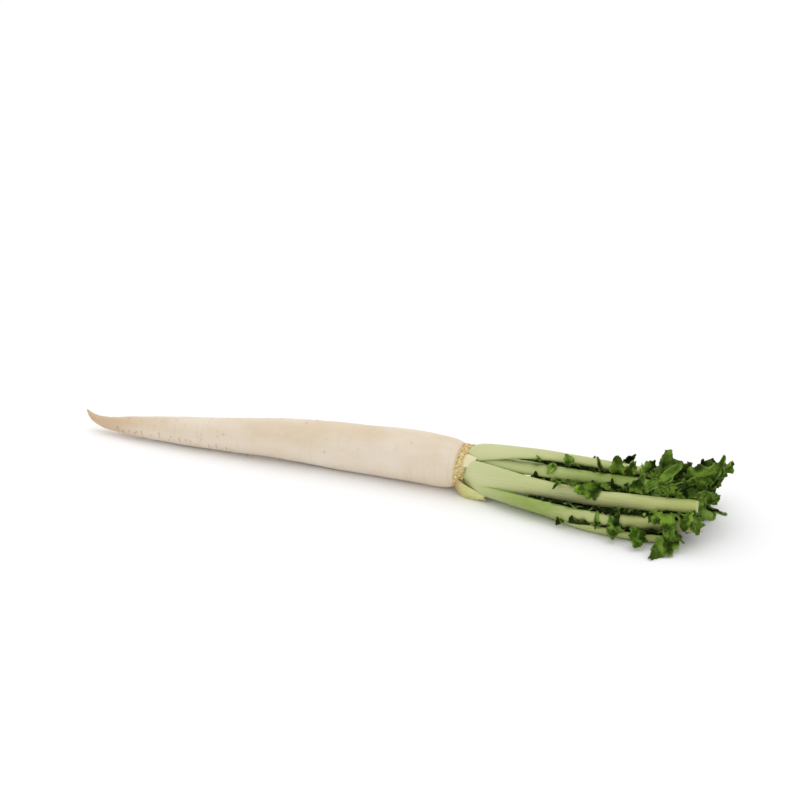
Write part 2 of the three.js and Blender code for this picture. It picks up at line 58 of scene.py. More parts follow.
# [distance from the crown, sideways, height, radius]
ROOT_STATIONS = np.array([
    [0, -4, 24.0, 18.4], [3, -3.8, 23.9, 20.4], [9, -3.1, 23.5, 22.4], [22, -1.6, 23.0, 23.6],
    [42, -0.3, 23.1, 24.1], [60, 0.3, 22.8, 23.8], [85, 0.6, 22.1, 23.1], [120, 0, 21.9, 22.0],
    [150, -1, 21.6, 20.4], [185, -2.4, 20.6, 18.2], [220, -3.6, 18.2, 16.3], [260, -4.6, 15.6, 14.4],
    [300, -5.2, 13.2, 11.7], [330, -5.2, 11.4, 8.9], [352, -4.6, 10.2, 6.4], [365, -3.6, 11.0, 4.6],
    [374, -2.6, 14.2, 2.8], [380, -1.6, 19.5, 0.7],
])
ROOT_LENGTH = ROOT_STATIONS[-1, 0]
# The bud: (distance past the crown, radius).
BUD_STATIONS = [(2, 18.0), (4, 17.6), (6, 17.2), (8, 16.6), (10, 12.5), (14, 8.0), (18, 3.0)]

# Rows of side-root scars: [distance from the crown, turn round the root in degrees].
SCAR_ROWS = [
    [(120, 262), (160, 255), (192, 246), (225, 222), (255, 208), (300, 196), (345, 190)],
    [(140, 70), (192, 64), (240, 58), (300, 52), (350, 48)],
]
SCAR_STEP = 6.5  # the usual distance between two scars of a row
SCAR_DEPTH = 0.22
TAIL_RINGS = 16
PITS = 70
# One dark pit: its place, turn, half length, half width and depth.
DARK_SPOT = (151, math.radians(98), 0.9, 0.8, 0.25)


def smooth(x):
    """A soft step from 0 at 0 to 1 at 1."""
    x = np.clip(x, 0, 1)
    return x * x * (3 - 2 * x)


def lerp(a, b, share):
    return a + (b - a) * share


def draw(n):
    """A repeatable draw from 0 to 1 for a whole number."""
    s = math.sin(n * 12.9898 + 4.1414) * 43758.5453
    return s - math.floor(s)


def along(rows, x, column):
    """The values at x on a smooth line through rows of [x, value, ...], read from a column."""
    rows = np.asarray(rows, float)
    x = np.atleast_1d(np.asarray(x, float))
    slopes = np.empty(len(rows))
    for k in range(len(rows)):
        a, b = rows[max(k - 1, 0)], rows[min(k + 1, len(rows) - 1)]
        slopes[k] = (b[column] - a[column]) / (b[0] - a[0])
    i = np.clip(np.searchsorted(rows[:, 0], x, side="left") - 1, 0, len(rows) - 2)
    h = rows[i + 1, 0] - rows[i, 0]
    u = np.clip((x - rows[i, 0]) / h, 0, 1)
    value = lerp(rows[i, column], rows[i + 1, column], u * u * (3 - 2 * u))
    return value + h * u * (1 - u) * ((1 - u) * slopes[i] - u * slopes[i + 1])


def outward(points, faces):
    """The faces, all turned round if the closed body they bound is inside out.

    A face is four point numbers, the last two alike where it is a triangle.
    """
    a, b, c, d = (points[faces[:, k]] for k in range(4))
    volume = (a * np.cross(b, c)).sum() + (a * np.cross(c, d)).sum()
    return faces if volume > 0 else faces[:, [1, 0, 3, 2]]


def ring_loft(rings):
    """Points and faces of a closed body through an array of rings, a fan closing each end."""
    count, sides = rings.shape[:2]
    points = np.vstack([rings.reshape(-1, 3), rings[0].mean(0), rings[-1].mean(0)])
    here = np.arange(sides)
    after = (here + 1) % sides
    ring = np.stack([here, after, after + sides, here + sides], axis=-1)
    walls = (ring[None] + sides * np.arange(count - 1)[:, None, None]).reshape(-1, 4)
    hub = np.full(sides, count * sides)
    last = (count - 1) * sides
    tail_fan = np.stack([after, here, hub, hub], axis=-1)
    head_fan = np.stack([here + last, after + last, hub + 1, hub + 1], axis=-1)
    return points, outward(points, np.concatenate([walls, tail_fan, head_fan]))


def make_piece(name, shells, material, marks=()):
    """One object from closed shells, each (points in mm, faces, {mark: a value for each point})."""
    start = 0
    all_points, all_faces = [], []
    values = {mark: [] for mark in marks}
    for points, faces, shell_marks in shells:
        all_points.append(points)
        all_faces.append(faces + start)
        for mark in marks:
            values[mark].append(np.broadcast_to(shell_marks[mark], len(points)))
        start += len(points)
    corners = np.concatenate(all_faces)
    whole = corners[:, 2] != corners[:, 3]
    mesh = bpy.data.meshes.new(name)
    mesh.from_pydata(
        (np.vstack(all_points) * MM).tolist(), [], corners[whole].tolist() + corners[~whole][:, :3].tolist()
    )
    for mark in marks:
        layer = mesh.attributes.new(mark, "FLOAT", "POINT")
        layer.data.foreach_set("value", np.concatenate(values[mark]).astype(np.float32))
    mesh.shade_smooth()
    mesh.materials.append(material)
    piece = bpy.data.objects.new(name, mesh)
    bpy.context.scene.collection.objects.link(piece)
    return piece


def root_radius(distance, turn):
    """Half thickness of the root, with the swellings of a grown root."""
    lumps = 0.010 * np.sin(2 * turn + distance / 31) + 0.007 * np.sin(3 * turn - distance / 19 + 1.3)
    rings = 0.004 * np.sin(distance / 4.7) * smooth((distance - 180) / 90)
    return along(ROOT_STATIONS, distance, 3) * (1 + (lumps + rings) * smooth(distance / 30))


def root_point(distance, turn, lift=0.0):
    """Points of the root's skin in mm, for arrays of distance from the crown and of turn."""
    r = root_radius(distance, turn) + lift
    before = np.maximum(distance - SLOPE_REACH, 0)
    after = np.minimum(distance + SLOPE_REACH, ROOT_LENGTH)
    rise = along(ROOT_STATIONS, before, 2) - along(ROOT_STATIONS, after, 2)
    tilt = np.arctan2(rise, 2 * SLOPE_REACH) - CROWN_LEAN * (1 - smooth(distance / LEAN_RUN))
    up = r * np.sin(turn)
    x = CROWN[0] - distance - up * np.sin(tilt)
    y = along(ROOT_STATIONS, distance, 1) + r * np.cos(turn)
    z = along(ROOT_STATIONS, distance, 2) + up * np.cos(tilt)
    return np.stack([x, y, np.maximum(z, 0)], axis=-1)


def root_scars():
    """Every scar and pit: (distance, turn, half length round the root, half width along it, depth)."""
    scars = []
    for row, places in enumerate(SCAR_ROWS):
        distance = places[0][0]
        while distance < places[-1][0]:
            seed = int(distance * 3 + row * 977)
            turn = math.radians(along(places, distance, 1)[0] + 22 * (draw(seed) - 0.5))
            size = lerp(0.8, 3.4, draw(seed + 1) ** 2)
            scars.append((distance, turn, size, lerp(0.3, 0.55, draw(seed + 2)), SCAR_DEPTH))
            distance += SCAR_STEP * lerp(0.35, 1.6, draw(seed + 3))
    for n in range(TAIL_RINGS):  # thin and brown
        place = lerp(225, 345, draw(n + 5))
        turn = math.radians(lerp(80, 260, draw(n + 60)))
        scars.append((place, turn, lerp(2, 9, draw(n + 20) ** 2), 0.28, 0.07))
    for n in range(PITS):  # anywhere on the root
        place = lerp(12, 350, draw(n + 300))
        size = lerp(0.3, 0.8, draw(n + 400) ** 2)
        scars.append((place, 2 * math.pi * draw(n + 500), size * 1.5, size, 0.12 * size))
    return scars + [DARK_SPOT]


def root_skin():
    """Points, faces and marks of the root, with its scars pressed in."""
    distance = ROOT_LENGTH * np.linspace(1, 0, ROOT_RINGS)
    turn = (np.arange(ROOT_SIDES) + 0.5) / ROOT_SIDES * 2 * math.pi - math.pi / 2
    d, t = np.meshgrid(distance, turn, indexing="ij")
    d, t = d.ravel(), t.ravel()
    r = root_radius(d, t)
    scar = np.zeros(len(d))
    relief = 0.05 * np.sin(d / 2.3 + 2 * np.sin(3 * t)) * np.sin(5 * t + d / 13)
    relief += 0.10 * np.sin(d / 8.3 + 1.7 * np.sin(2 * t + 1))
    for place, side, half_length, half_width, depth in root_scars():
        near = np.abs(d - place) < 4 * half_width
        round_it = (t[near] - side + math.pi) % (2 * math.pi) - math.pi
        bend = 0.25 * np.sin(round_it * r[near] * 1.3 + place)
        off_line = (d[near] - place + bend) / half_width
        along_line = round_it * r[near] / half_length
        dent = np.exp(-(off_line**2) - along_line**4)
        scar[near] = np.maximum(scar[near], dent * min(1.0, depth / 0.16))
        relief[near] -= depth * dent
    tail = smooth((d - 300) / 70)
    relief += 0.22 * tail * np.sin(7 * t + d / 9) * np.minimum(r / 6, 1)
    points = root_point(d, t, relief * smooth(r / 3)).reshape(ROOT_RINGS, ROOT_SIDES, 3)
    bud = []
    for beyond, radius in BUD_STATIONS:
        rough = radius * (1 + 0.02 * np.sin(9 * turn + beyond) + 0.012 * np.sin(23 * turn - beyond))
        up = rough * np.sin(turn)
        x = CROWN[0] + beyond + up * math.sin(CROWN_LEAN)
        y = CROWN[1] + rough * np.cos(turn)
        z = CROWN[2] + up * math.cos(CROWN_LEAN)
        bud.append(np.stack([x, y, z], axis=-1))
    points, faces = ring_loft(np.concatenate([points, bud]))
    bud_count = len(points) - len(d)
    ends = np.zeros(bud_count)
    marks = {
        "scar": np.concatenate([scar, ends]),
        "tail": np.concatenate([tail, ends[:-2], [1, 0]]),
        "upper": np.concatenate([smooth(0.15 + 1.1 * np.sin(t)), ends]),
        "crown": np.concatenate([1 - smooth((d - 0.5) / 3.0), ends + 1]),
    }
    return points, faces, marks


def colour(red, green, blue):
    """A colour given as it looks on a screen, 0 to 255, in the linear values that shaders take."""
    shares = (red / 255, green / 255, blue / 255)
    return tuple(c / 12.92 if c <= 0.04045 else ((c + 0.055) / 1.055) ** 2.4 for c in shares) + (1.0,)


def add_node(tree, kind, inputs=None, **settings):
    """A node with its settings; inputs maps a socket to a value or to the socket that feeds it."""
    node = tree.nodes.new(kind)
    for key, value in settings.items():
        setattr(node, key, value)
    for socket, value in (inputs or {}).items():
        if isinstance(value, bpy.types.NodeSocket):
            tree.links.new(value, node.inputs[socket])
        else:
            node.inputs[socket].default_value = value
    return node


def make_uneven_group():
    """Shader group: soft clouds from 0 to 1 over the surface, stretched along chosen axes."""
    group = bpy.data.node_groups.new("uneven", "ShaderNodeTree")
    group.interface.new_socket("Stretch", in_out="INPUT", socket_type="NodeSocketVector")
    for name, value in (("Detail", 3.0), ("Low", 0.35), ("High", 0.65)):
        socket = group.interface.new_socket(name, in_out="INPUT", socket_type="NodeSocketFloat")
        socket.default_value = value
    group.interface.new_socket("Value", in_out="OUTPUT", socket_type="NodeSocketFloat")
    given = group.nodes.new("NodeGroupInput")
    place = add_node(group, "ShaderNodeTexCoord")
    stretched = add_node(group, "ShaderNodeVectorMath",
                         {0: place.outputs["Object"], 1: given.outputs["Stretch"]},
                         operation="MULTIPLY")
    noise = add_node(group, "ShaderNodeTexNoise",
                     {"Vector": stretched.outputs[0], "Scale": 1.0, "Detail": given.outputs["Detail"]})
    ranged = add_node(group, "ShaderNodeMapRange",
                      {"Value": noise.outputs["Fac"], "From Min": given.outputs["Low"],
                       "From Max": given.outputs["High"]})
    out = group.nodes.new("NodeGroupOutput")
    group.links.new(ranged.outputs["Result"], out.inputs["Value"])
    return group


uneven_group = make_uneven_group()


def uneven(tree, stretch, detail=3.0, low=0.35, high=0.65):
    """The clouds of the uneven group, placed in a material with its own values."""
    node = add_node(tree, "ShaderNodeGroup", node_tree=uneven_group)
    node.inputs["Stretch"].default_value = stretch
    node.inputs["Detail"].default_value = detail
    node.inputs["Low"].default_value = low
    node.inputs["High"].default_value = high
    return node.outputs["Value"]


def mark(tree, name):
    """A mark stored on the mesh, as a value."""
    return add_node(tree, "ShaderNodeAttribute", attribute_name=name).outputs["Fac"]


def calc(tree, operation, a, b=0.0, clamp=False):
    return add_node(tree, "ShaderNodeMath", {0: a, 1: b}, operation=operation, use_clamp=clamp).outputs[0]


def mix(tree, share, a, b):
    """A colour between a and b; each is a colour or the socket of one."""
    node = add_node(tree, "ShaderNodeMix", {"Factor": share}, data_type="RGBA")
    for index, value in ((6, a), (7, b)):
        if isinstance(value, bpy.types.NodeSocket):
            tree.links.new(value, node.inputs[index])
        else:
            node.inputs[index].default_value = value
    return node.outputs[2]


def new_finish(name, roughness, subsurface=0.0, radius=(1.0, 0.6, 0.3), depth=0.001):
    """An empty material with its shader; the caller links colour and bump."""
    material = bpy.data.materials.new(name)
    material.use_nodes = True
    tree = material.node_tree
    shader = tree.nodes["Principled BSDF"]
    shader.inputs["Roughness"].default_value = roughness
    shader.inputs["Subsurface Weight"].default_value = subsurface
    shader.inputs["Subsurface Radius"].default_value = radius
    shader.inputs["Subsurface Scale"].default_value = depth
    return material, tree, shader


def add_bump(tree, shader, height, strength, distance):
    bump = add_node(tree, "ShaderNodeBump", {"Height": height, "Strength": strength, "Distance": distance})
    tree.links.new(bump.outputs["Normal"], shader.inputs["Normal"])


def root_finish():
    material, tree, shader = new_finish("root_skin", 0.45, 0.2, (1.0, 0.62, 0.35), 0.003)
    shader.inputs["Specular IOR Level"].default_value = 0.35
    base = mix(tree, uneven(tree, (16, 30, 30), 4), colour(224, 213, 197), colour(219, 203, 181))
    bands = calc(tree, "MULTIPLY", uneven(tree, (420, 14, 14), 2, 0.5, 0.8), uneven(tree, (25, 25, 25), 2))
    base = mix(tree, calc(tree, "MULTIPLY", bands, 0.4), base, colour(207, 188, 160))
    # The upper side is tanner in clouds.
    upper_tan = calc(tree, "MULTIPLY", uneven(tree, (20, 40, 40), 3), mark(tree, "upper"))
    base = mix(tree, calc(tree, "MULTIPLY", upper_tan, 0.75), base, colour(208, 188, 154))
    tail = calc(tree, "MULTIPLY", mark(tree, "tail"), 0.7)
    base = mix(tree, tail, base, colour(190, 156, 112))
    blots = uneven(tree, (70, 50, 50), 4, 0.62, 0.78)
    base = mix(tree, calc(tree, "MULTIPLY", blots, 0.3), base, colour(198, 166, 122))
    base = mix(tree, calc(tree, "MULTIPLY", mark(tree, "scar"), 0.8), base, colour(140, 98, 58))
    crumbs = uneven(tree, (700, 700, 700), 3, 0.35, 0.65)
    crown = mix(tree, crumbs, colour(222, 202, 146), colour(176, 148, 88))
    base = mix(tree, mark(tree, "crown"), base, crown)
    tree.links.new(base, shader.inputs["Base Color"])
    grain = uneven(tree, (1400, 500, 500), 4, 0.2, 0.8)
    add_bump(tree, shader, grain, 0.25, 0.0001)
    return material


root_material = root_finish()
root = make_piece("radish_root", [root_skin()], root_material, ("scar", "tail", "upper", "crown"))
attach(root, "root")
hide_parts("root")

# ---------------------------------------------------------------- the crown
# Where old leaves have gone, the crown keeps a ring of dry, crumbly golden scales and a few stubs:
# small torn ones all round, a pale three-cornered one at the top and a long yellow bract below.
# The scales are scattered over the crown's band, and the stubs are thin curved plates.

STUB_COUNT = 9
STUB_RING = 18.2  # how far the stubs stand from the crown's middle
STUB_FLARE = 1.4  # how far the tips of the small ones stand off
STUB_SWELL = 0.4
# place in the ring: turn round the crown in degrees, start, long, wide, tip, flare, swell (how
# much of its flare it has a quarter of the way along), twist, freshness
STUBS = {
    1: (38, 4, 13.0, 12.0, 0.6, 4.5, 0.4, 0, 0.05),
    7: (318, 2, 29.0, 18.0, 0.35, 12.0, 0.7, 20, 0.9),
}
STUB_THICKNESS = 1.2


def leaned(points):
    """Points round the crown, moved along the root as the crown plane leans."""
    points = points.copy()
    points[..., 0] += CROWN_LEAN * (points[..., 2] - CROWN[2])
    return points


def thick_sheet(grid, thickness):
    """Points and faces of a closed thin shell round a grid of middle points."""
    rows, cols = grid.shape[:2]
    normal = np.cross(np.gradient(grid, axis=0), np.gradient(grid, axis=1))
    normal /= np.linalg.norm(normal, axis=2, keepdims=True) + 1e-9
    half = np.broadcast_to(thickness, (rows, cols))[..., None] / 2
    points = np.concatenate([(grid + normal * half).reshape(-1, 3), (grid - normal * half).reshape(-1, 3)])
    points[:, 2] = np.maximum(points[:, 2], 0)
    number = np.arange(rows * cols).reshape(rows, cols)
    under = rows * cols
    a, b = number[:-1, :-1].ravel(), number[:-1, 1:].ravel()
    c, d = number[1:, 1:].ravel(), number[1:, :-1].ravel()
    upper = np.stack([a, b, c, d], axis=-1)
    rim = np.concatenate([number[0, ::-1], number[1:, 0], number[-1, 1:], number[-2:0:-1, -1]])
    after = np.roll(rim, -1)
    edge = np.stack([rim, after, after + under, rim + under], axis=-1)
    return points, outward(points, np.concatenate([upper, upper[:, ::-1] + under, edge]))


def stub_shell(n):
    """One stub or scale of an old leaf, curved round the crown, with a torn tip."""
    place = (n + 0.35 * draw(n + 3)) / STUB_COUNT * 360
    long, wide = 4 + 4 * draw(n + 40), 6 + 4 * draw(n + 80)
    small = (place, 2, long, wide, 0.5, STUB_FLARE, STUB_SWELL, 0, 0.0)
    degrees, start, long, wide, tip, flare, swell, twist, fresh = STUBS.get(n, small)
    turn = math.radians(degrees)
    sideways = math.radians(degrees + twist)
    out = np.array([0, -math.cos(turn), math.sin(turn)])
    side = np.array([0, math.sin(sideways), math.cos(sideways)])
    rows = np.array([[-0.2, 0.7, -1.6], [0.25, 1, swell * flare], [1, tip, flare]])
    shares = np.linspace(-0.2, 1, 22)
    widths = along(rows, shares, 1)
    lifts = along(rows, shares, 2)
    across = np.linspace(-1, 1, 15)
    grid = np.empty((len(shares), len(across), 3))
    for i, (share, width, lift) in enumerate(zip(shares, widths, lifts)):
        ragged = 0.06 * np.sin(9 * across + n) + 0.04 * np.sin(23 * across)
        torn = 1 + ragged * smooth((share - 0.5) / 0.5)
        rib = 0.16 * np.cos(7 * math.pi * across) * smooth(share * 3)
        middle = CROWN + np.array([start, 0, 0])
        grid[i] = (
            middle
            + np.outer(long * share * torn, [1, 0, 0])
            + np.outer(STUB_RING + lift + rib - np.abs(across) ** 1.6 * wide * 0.1, out)
            + np.outer(across * wide * width / 2, side)
        )
    edge = 1 - 0.55 * np.abs(across) ** 3
    thickness = STUB_THICKNESS * np.outer(1 - 0.5 * smooth((shares - 0.6) / 0.4), edge)
    points, faces = thick_sheet(leaned(grid), thickness)
    up_stub = np.tile(np.repeat(np.clip(shares, 0, 1), len(across)), 2)
    marks = {"dry": 1 - fresh * smooth(up_stub * 2.5), "up_stub": up_stub, "white": float(n == 1)}
    return points, faces, marks


def stub_finish():
    material, tree, shader = new_finish("dry_stub", 0.6, 0.1, (1.0, 0.7, 0.3), 0.002)
    base = mix(tree, uneven(tree, (90, 500, 500), 3), colour(216, 204, 154), colour(190, 168, 108))
    base = mix(tree, mark(tree, "white"), base, colour(228, 219, 180))
    fresh = mix(tree, uneven(tree, (60, 400, 400), 3), colour(212, 212, 148), colour(194, 198, 112))
    base = mix(tree, mark(tree, "dry"), fresh, base)
    foot = calc(tree, "SUBTRACT", 1.0, calc(tree, "MULTIPLY", mark(tree, "up_stub"), 4.0, clamp=True))
    base = mix(tree, calc(tree, "MULTIPLY", foot, 0.7), base, colour(178, 146, 86))
    tree.links.new(base, shader.inputs["Base Color"])
    add_bump(tree, shader, uneven(tree, (300, 1500, 1500), 4), 0.5, 0.0003)
    return material


stub_material = stub_finish()
stub_shells = [stub_shell(n) for n in range(STUB_COUNT)]
stubs = make_piece("old_stubs", stub_shells, stub_material, ("dry", "up_stub", "white"))
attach(stubs, "root")


def new_modifier_tree(name, inputs):
    """A geometry tree with a geometry in and out and the named inputs: (name, kind, value)."""
    tree = bpy.data.node_groups.new(name, "GeometryNodeTree")
    tree.interface.new_socket("Geometry", in_out="INPUT", socket_type="NodeSocketGeometry")
    for title, kind, value in inputs:
        socket = tree.interface.new_socket(title, in_out="INPUT", socket_type=kind)
        socket.default_value = value
    tree.interface.new_socket("Geometry", in_out="OUTPUT", socket_type="NodeSocketGeometry")
    return tree, tree.nodes.new("NodeGroupInput").outputs, tree.nodes.new("NodeGroupOutput").inputs


def grow(name, carrier, tree, values):
    """The plain mesh that a geometry tree makes from a carrier mesh, as an object of its own."""
    holder = bpy.data.objects.new(name + "_carrier", carrier)
    bpy.context.scene.collection.objects.link(holder)
    modifier = holder.modifiers.new(name, "NODES")
    modifier.node_group = tree
    for item in tree.interface.items_tree:
        if item.item_type == "SOCKET" and item.in_out == "INPUT" and item.name in values:
            modifier[item.identifier] = values[item.name]
    depsgraph = bpy.context.evaluated_depsgraph_get()
    mesh = bpy.data.meshes.new_from_object(holder.evaluated_get(depsgraph), depsgraph=depsgraph)
    bpy.data.objects.remove(holder)
    mesh.name = name
    piece = bpy.data.objects.new(name, mesh)
    bpy.context.scene.collection.objects.link(piece)
    return piece


def scale_tree(material):
    """Small flat crumbs set at random on the carrier's faces, lying nearly along them."""
    tree, given, out = new_modifier_tree("crown_scales", [
        ("Density", "NodeSocketFloat", 1.0), ("Length", "NodeSocketFloat", 0.002),
        ("Seed", "NodeSocketInt", 1),
    ])
    spread = add_node(tree, "GeometryNodeDistributePointsOnFaces",
                      {"Mesh": given["Geometry"], "Density": given["Density"], "Seed": given["Seed"]})
    crumb = add_node(tree, "GeometryNodeMeshIcoSphere", {"Radius": given["Length"], "Subdivisions": 2})
    flat = add_node(tree, "GeometryNodeTransform",
                    {"Geometry": crumb.outputs["Mesh"], "Scale": (1.0, 0.5, 0.22)})
    tilt = add_node(tree, "FunctionNodeRandomValue",
                    {0: (-0.5, -0.9, -3.1), 1: (0.5, 0.3, 3.1), "Seed": given["Seed"]},
                    data_type="FLOAT_VECTOR")
    turned = add_node(tree, "FunctionNodeRotateRotation",
                      {"Rotation": spread.outputs["Rotation"], "Rotate By": tilt.outputs["Value"]},
                      rotation_space="LOCAL")
    size = add_node(tree, "FunctionNodeRandomValue", {2: 0.25, 3: 1.5, "Seed": given["Seed"]},
                    data_type="FLOAT")
    placed = add_node(tree, "GeometryNodeInstanceOnPoints",
                      {"Points": spread.outputs["Points"], "Instance": flat.outputs["Geometry"],
                       "Rotation": turned.outputs["Rotation"], "Scale": size.outputs[1]})
    real = add_node(tree, "GeometryNodeRealizeInstances", {"Geometry": placed.outputs["Instances"]})
    noise = add_node(tree, "ShaderNodeTexNoise", {"Scale": 900.0, "Detail": 2.0})
    centred = add_node(tree, "ShaderNodeVectorMath", {0: noise.outputs["Color"], 1: (0.5, 0.5, 0.5)},
                       operation="SUBTRACT")
    shift = add_node(tree, "ShaderNodeVectorMath", {0: centred.outputs[0], "Scale": 0.0012},
                     operation="SCALE")
    rough = add_node(tree, "GeometryNodeSetPosition",
                     {"Geometry": real.outputs["Geometry"], "Offset": shift.outputs[0]})
    done = add_node(tree, "GeometryNodeSetMaterial",
                    {"Geometry": rough.outputs["Geometry"], "Material": material})
    tree.links.new(done.outputs["Geometry"], out["Geometry"])
    return tree


def scale_finish():
    material, tree, shader = new_finish("crown_scale", 0.75)
    base = mix(tree, uneven(tree, (420, 420, 420), 3), colour(244, 228, 172), colour(206, 176, 108))
    base = mix(tree, uneven(tree, (900, 900, 900), 2, 0.58, 0.8), base, colour(150, 116, 64))
    tree.links.new(base, shader.inputs["Base Color"])
    return material


def crown_band():
    """The band of the crown that the scales cover, as a mesh with its faces outwards."""
    turn = np.linspace(0, 2 * math.pi, 49)[:-1]
    band = [(-0.6, 19.0), (0.8, 18.6), (3.0, 18.2), (5.0, 17.8), (7.5, 17.2)]
    points, faces = [], []
    for beyond, radius in band:
        for t in turn:
            points.append(leaned(CROWN + [beyond, radius * math.cos(t), radius * math.sin(t)]) * MM)
    for r in range(len(band) - 1):
        for s in range(len(turn)):
            a = r * len(turn) + s
            b = r * len(turn) + (s + 1) % len(turn)
            faces.append((a, b, b + len(turn), a + len(turn)))
    mesh = bpy.data.meshes.new("crown_band")
    mesh.from_pydata(points, [], faces)
    return mesh


scales = grow("crown_scales", crown_band(), scale_tree(scale_finish()),
              {"Density": 800000.0, "Length": 1.4 * MM, "Seed": 4})
scales.data.shade_smooth()
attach(scales, "root")

# ---------------------------------------------------------------- the rootlets
# Fine side roots, a few hundredths to half a millimetre thick, that come out of the scars and
# off the tail. Each is a wandering line, given its thickness by a tube that thins to its tip.

TAIL_ROOTLETS = 34


def line_tree(name, material, sides):
    """Round tubes along the carrier's edges, as thick as its mark 'thick' says at each point."""
    tree, given, out = new_modifier_tree(name, [("Thickness", "NodeSocketFloat", 0.001)])
    curve = add_node(tree, "GeometryNodeMeshToCurve", {"Mesh": given["Geometry"]})
    thick = add_node(tree, "GeometryNodeInputNamedAttribute", {"Name": "thick"}, data_type="FLOAT")
    radius = add_node(tree, "ShaderNodeMath", {0: thick.outputs[0], 1: given["Thickness"]},
                      operation="MULTIPLY")
    section = add_node(tree, "GeometryNodeCurvePrimitiveCircle", {"Resolution": sides, "Radius": 1.0})
    tube = add_node(tree, "GeometryNodeCurveToMesh",
                    {"Curve": curve.outputs["Curve"], "Profile Curve": section.outputs["Curve"],
                     "Scale": radius.outputs[0], "Fill Caps": True})
    done = add_node(tree, "GeometryNodeSetMaterial",
                    {"Geometry": tube.outputs["Mesh"], "Material": material})
    tree.links.new(done.outputs["Geometry"], out["Geometry"])
    return tree


def lines_mesh(name, lines):
    """A mesh of loose lines, each (points in mm, half thickness in mm at each point)."""
    points, edges, thick = [], [], []
    for path, half in lines:
        start = len(points)
        points.extend((path * MM).tolist())
        edges.extend((start + i, start + i + 1) for i in range(len(path) - 1))
        thick.extend(half)
    mesh = bpy.data.meshes.new(name)
    mesh.from_pydata(points, edges, [])
    layer = mesh.attributes.new("thick", "FLOAT", "POINT")
    layer.data.foreach_set("value", np.array(thick, np.float32))
    return mesh


def rootlet(distance, turn, length, half, seed):
    """A wandering line that leaves the root at a place and droops."""
    steps = 12
    foot = root_point(np.array([distance]), np.array([turn]), -0.4)[0]
    tip = root_point(np.array([distance]), np.array([turn]), 4.0)[0]
    heading = (tip - foot) / np.linalg.norm(tip - foot)
    heading = heading + np.array([lerp(-0.9, 0.4, draw(seed)), lerp(-0.4, 0.4, draw(seed + 1)), 0])
    path = [foot]
    for i in range(steps):
        wander = np.array([draw(seed + 3 * i + k) - 0.5 for k in (10, 11, 12)])
        heading = heading + 0.55 * wander + np.array([0, 0, -0.05])
        heading /= np.linalg.norm(heading)
        path.append(path[-1] + heading * length / steps)
    path = np.array(path)
    path[:, 2] = np.maximum(path[:, 2], half + 0.05)
    share = np.linspace(0, 1, steps + 1)
    return path, half * (1 - 0.85 * share)


def rootlet_lines():
    lines = []
    for n, (distance, turn, _, _, depth) in enumerate(root_scars()):
        if depth < SCAR_DEPTH:
            continue
        for k in range(1 + int(3 * draw(n + 700))):
            seed = 2000 + 40 * n + 7 * k
            length = lerp(1.5, 7.0, draw(seed + 5) ** 2)
            lines.append(rootlet(distance, turn + 0.1 * (draw(seed + 6) - 0.5), length, 0.07, seed))
    for n in range(TAIL_ROOTLETS):
        distance = lerp(300, 378, draw(n + 900) ** 0.7)
        length = lerp(3, 13, draw(n + 950) ** 2)
        lines.append(rootlet(distance, 2 * math.pi * draw(n + 990), length, 0.13, 5000 + 40 * n))
    return lines


rootlet_material, rootlet_nodes, rootlet_shader = new_finish("rootlet", 0.6)
rootlet_colour = mix(rootlet_nodes, uneven(rootlet_nodes, (200, 200, 200), 2), colour(222, 200, 160),
                     colour(176, 138, 88))
rootlet_nodes.links.new(rootlet_colour, rootlet_shader.inputs["Base Color"])
rootlets = grow("rootlets", lines_mesh("rootlet_lines", rootlet_lines()),
                line_tree("rootlet_tubes", rootlet_material, 5), {"Thickness": MM})
rootlets.data.shade_smooth()
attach(rootlets, "root")

# ---------------------------------------------------------------- the leaf stalks
# Nine juicy pale green stalks that stand round the crown, the outer ones clasping the inner
# ones. Each is a loft along its own curve: broad at the foot, rounded and ribbed outside, with a
# shallow groove inside, and cut off blunt, so that its fibres show at the end.

GOLDEN_ANGLE = math.radians(137.5)
FOOT_X = 7.5  # how far past the crown the stalks' feet are
STALK_DEPTH = 0.64  # as a share of the width past the foot
STALK_SIDES = 96
STALK_RINGS = 150
RIBS = 26
END_STARTS = 0.975  # where a stalk's cut end starts to round off
END_SHRINK = 0.17
STALK_STATIONS = [22, 65, 105, 130, 175]
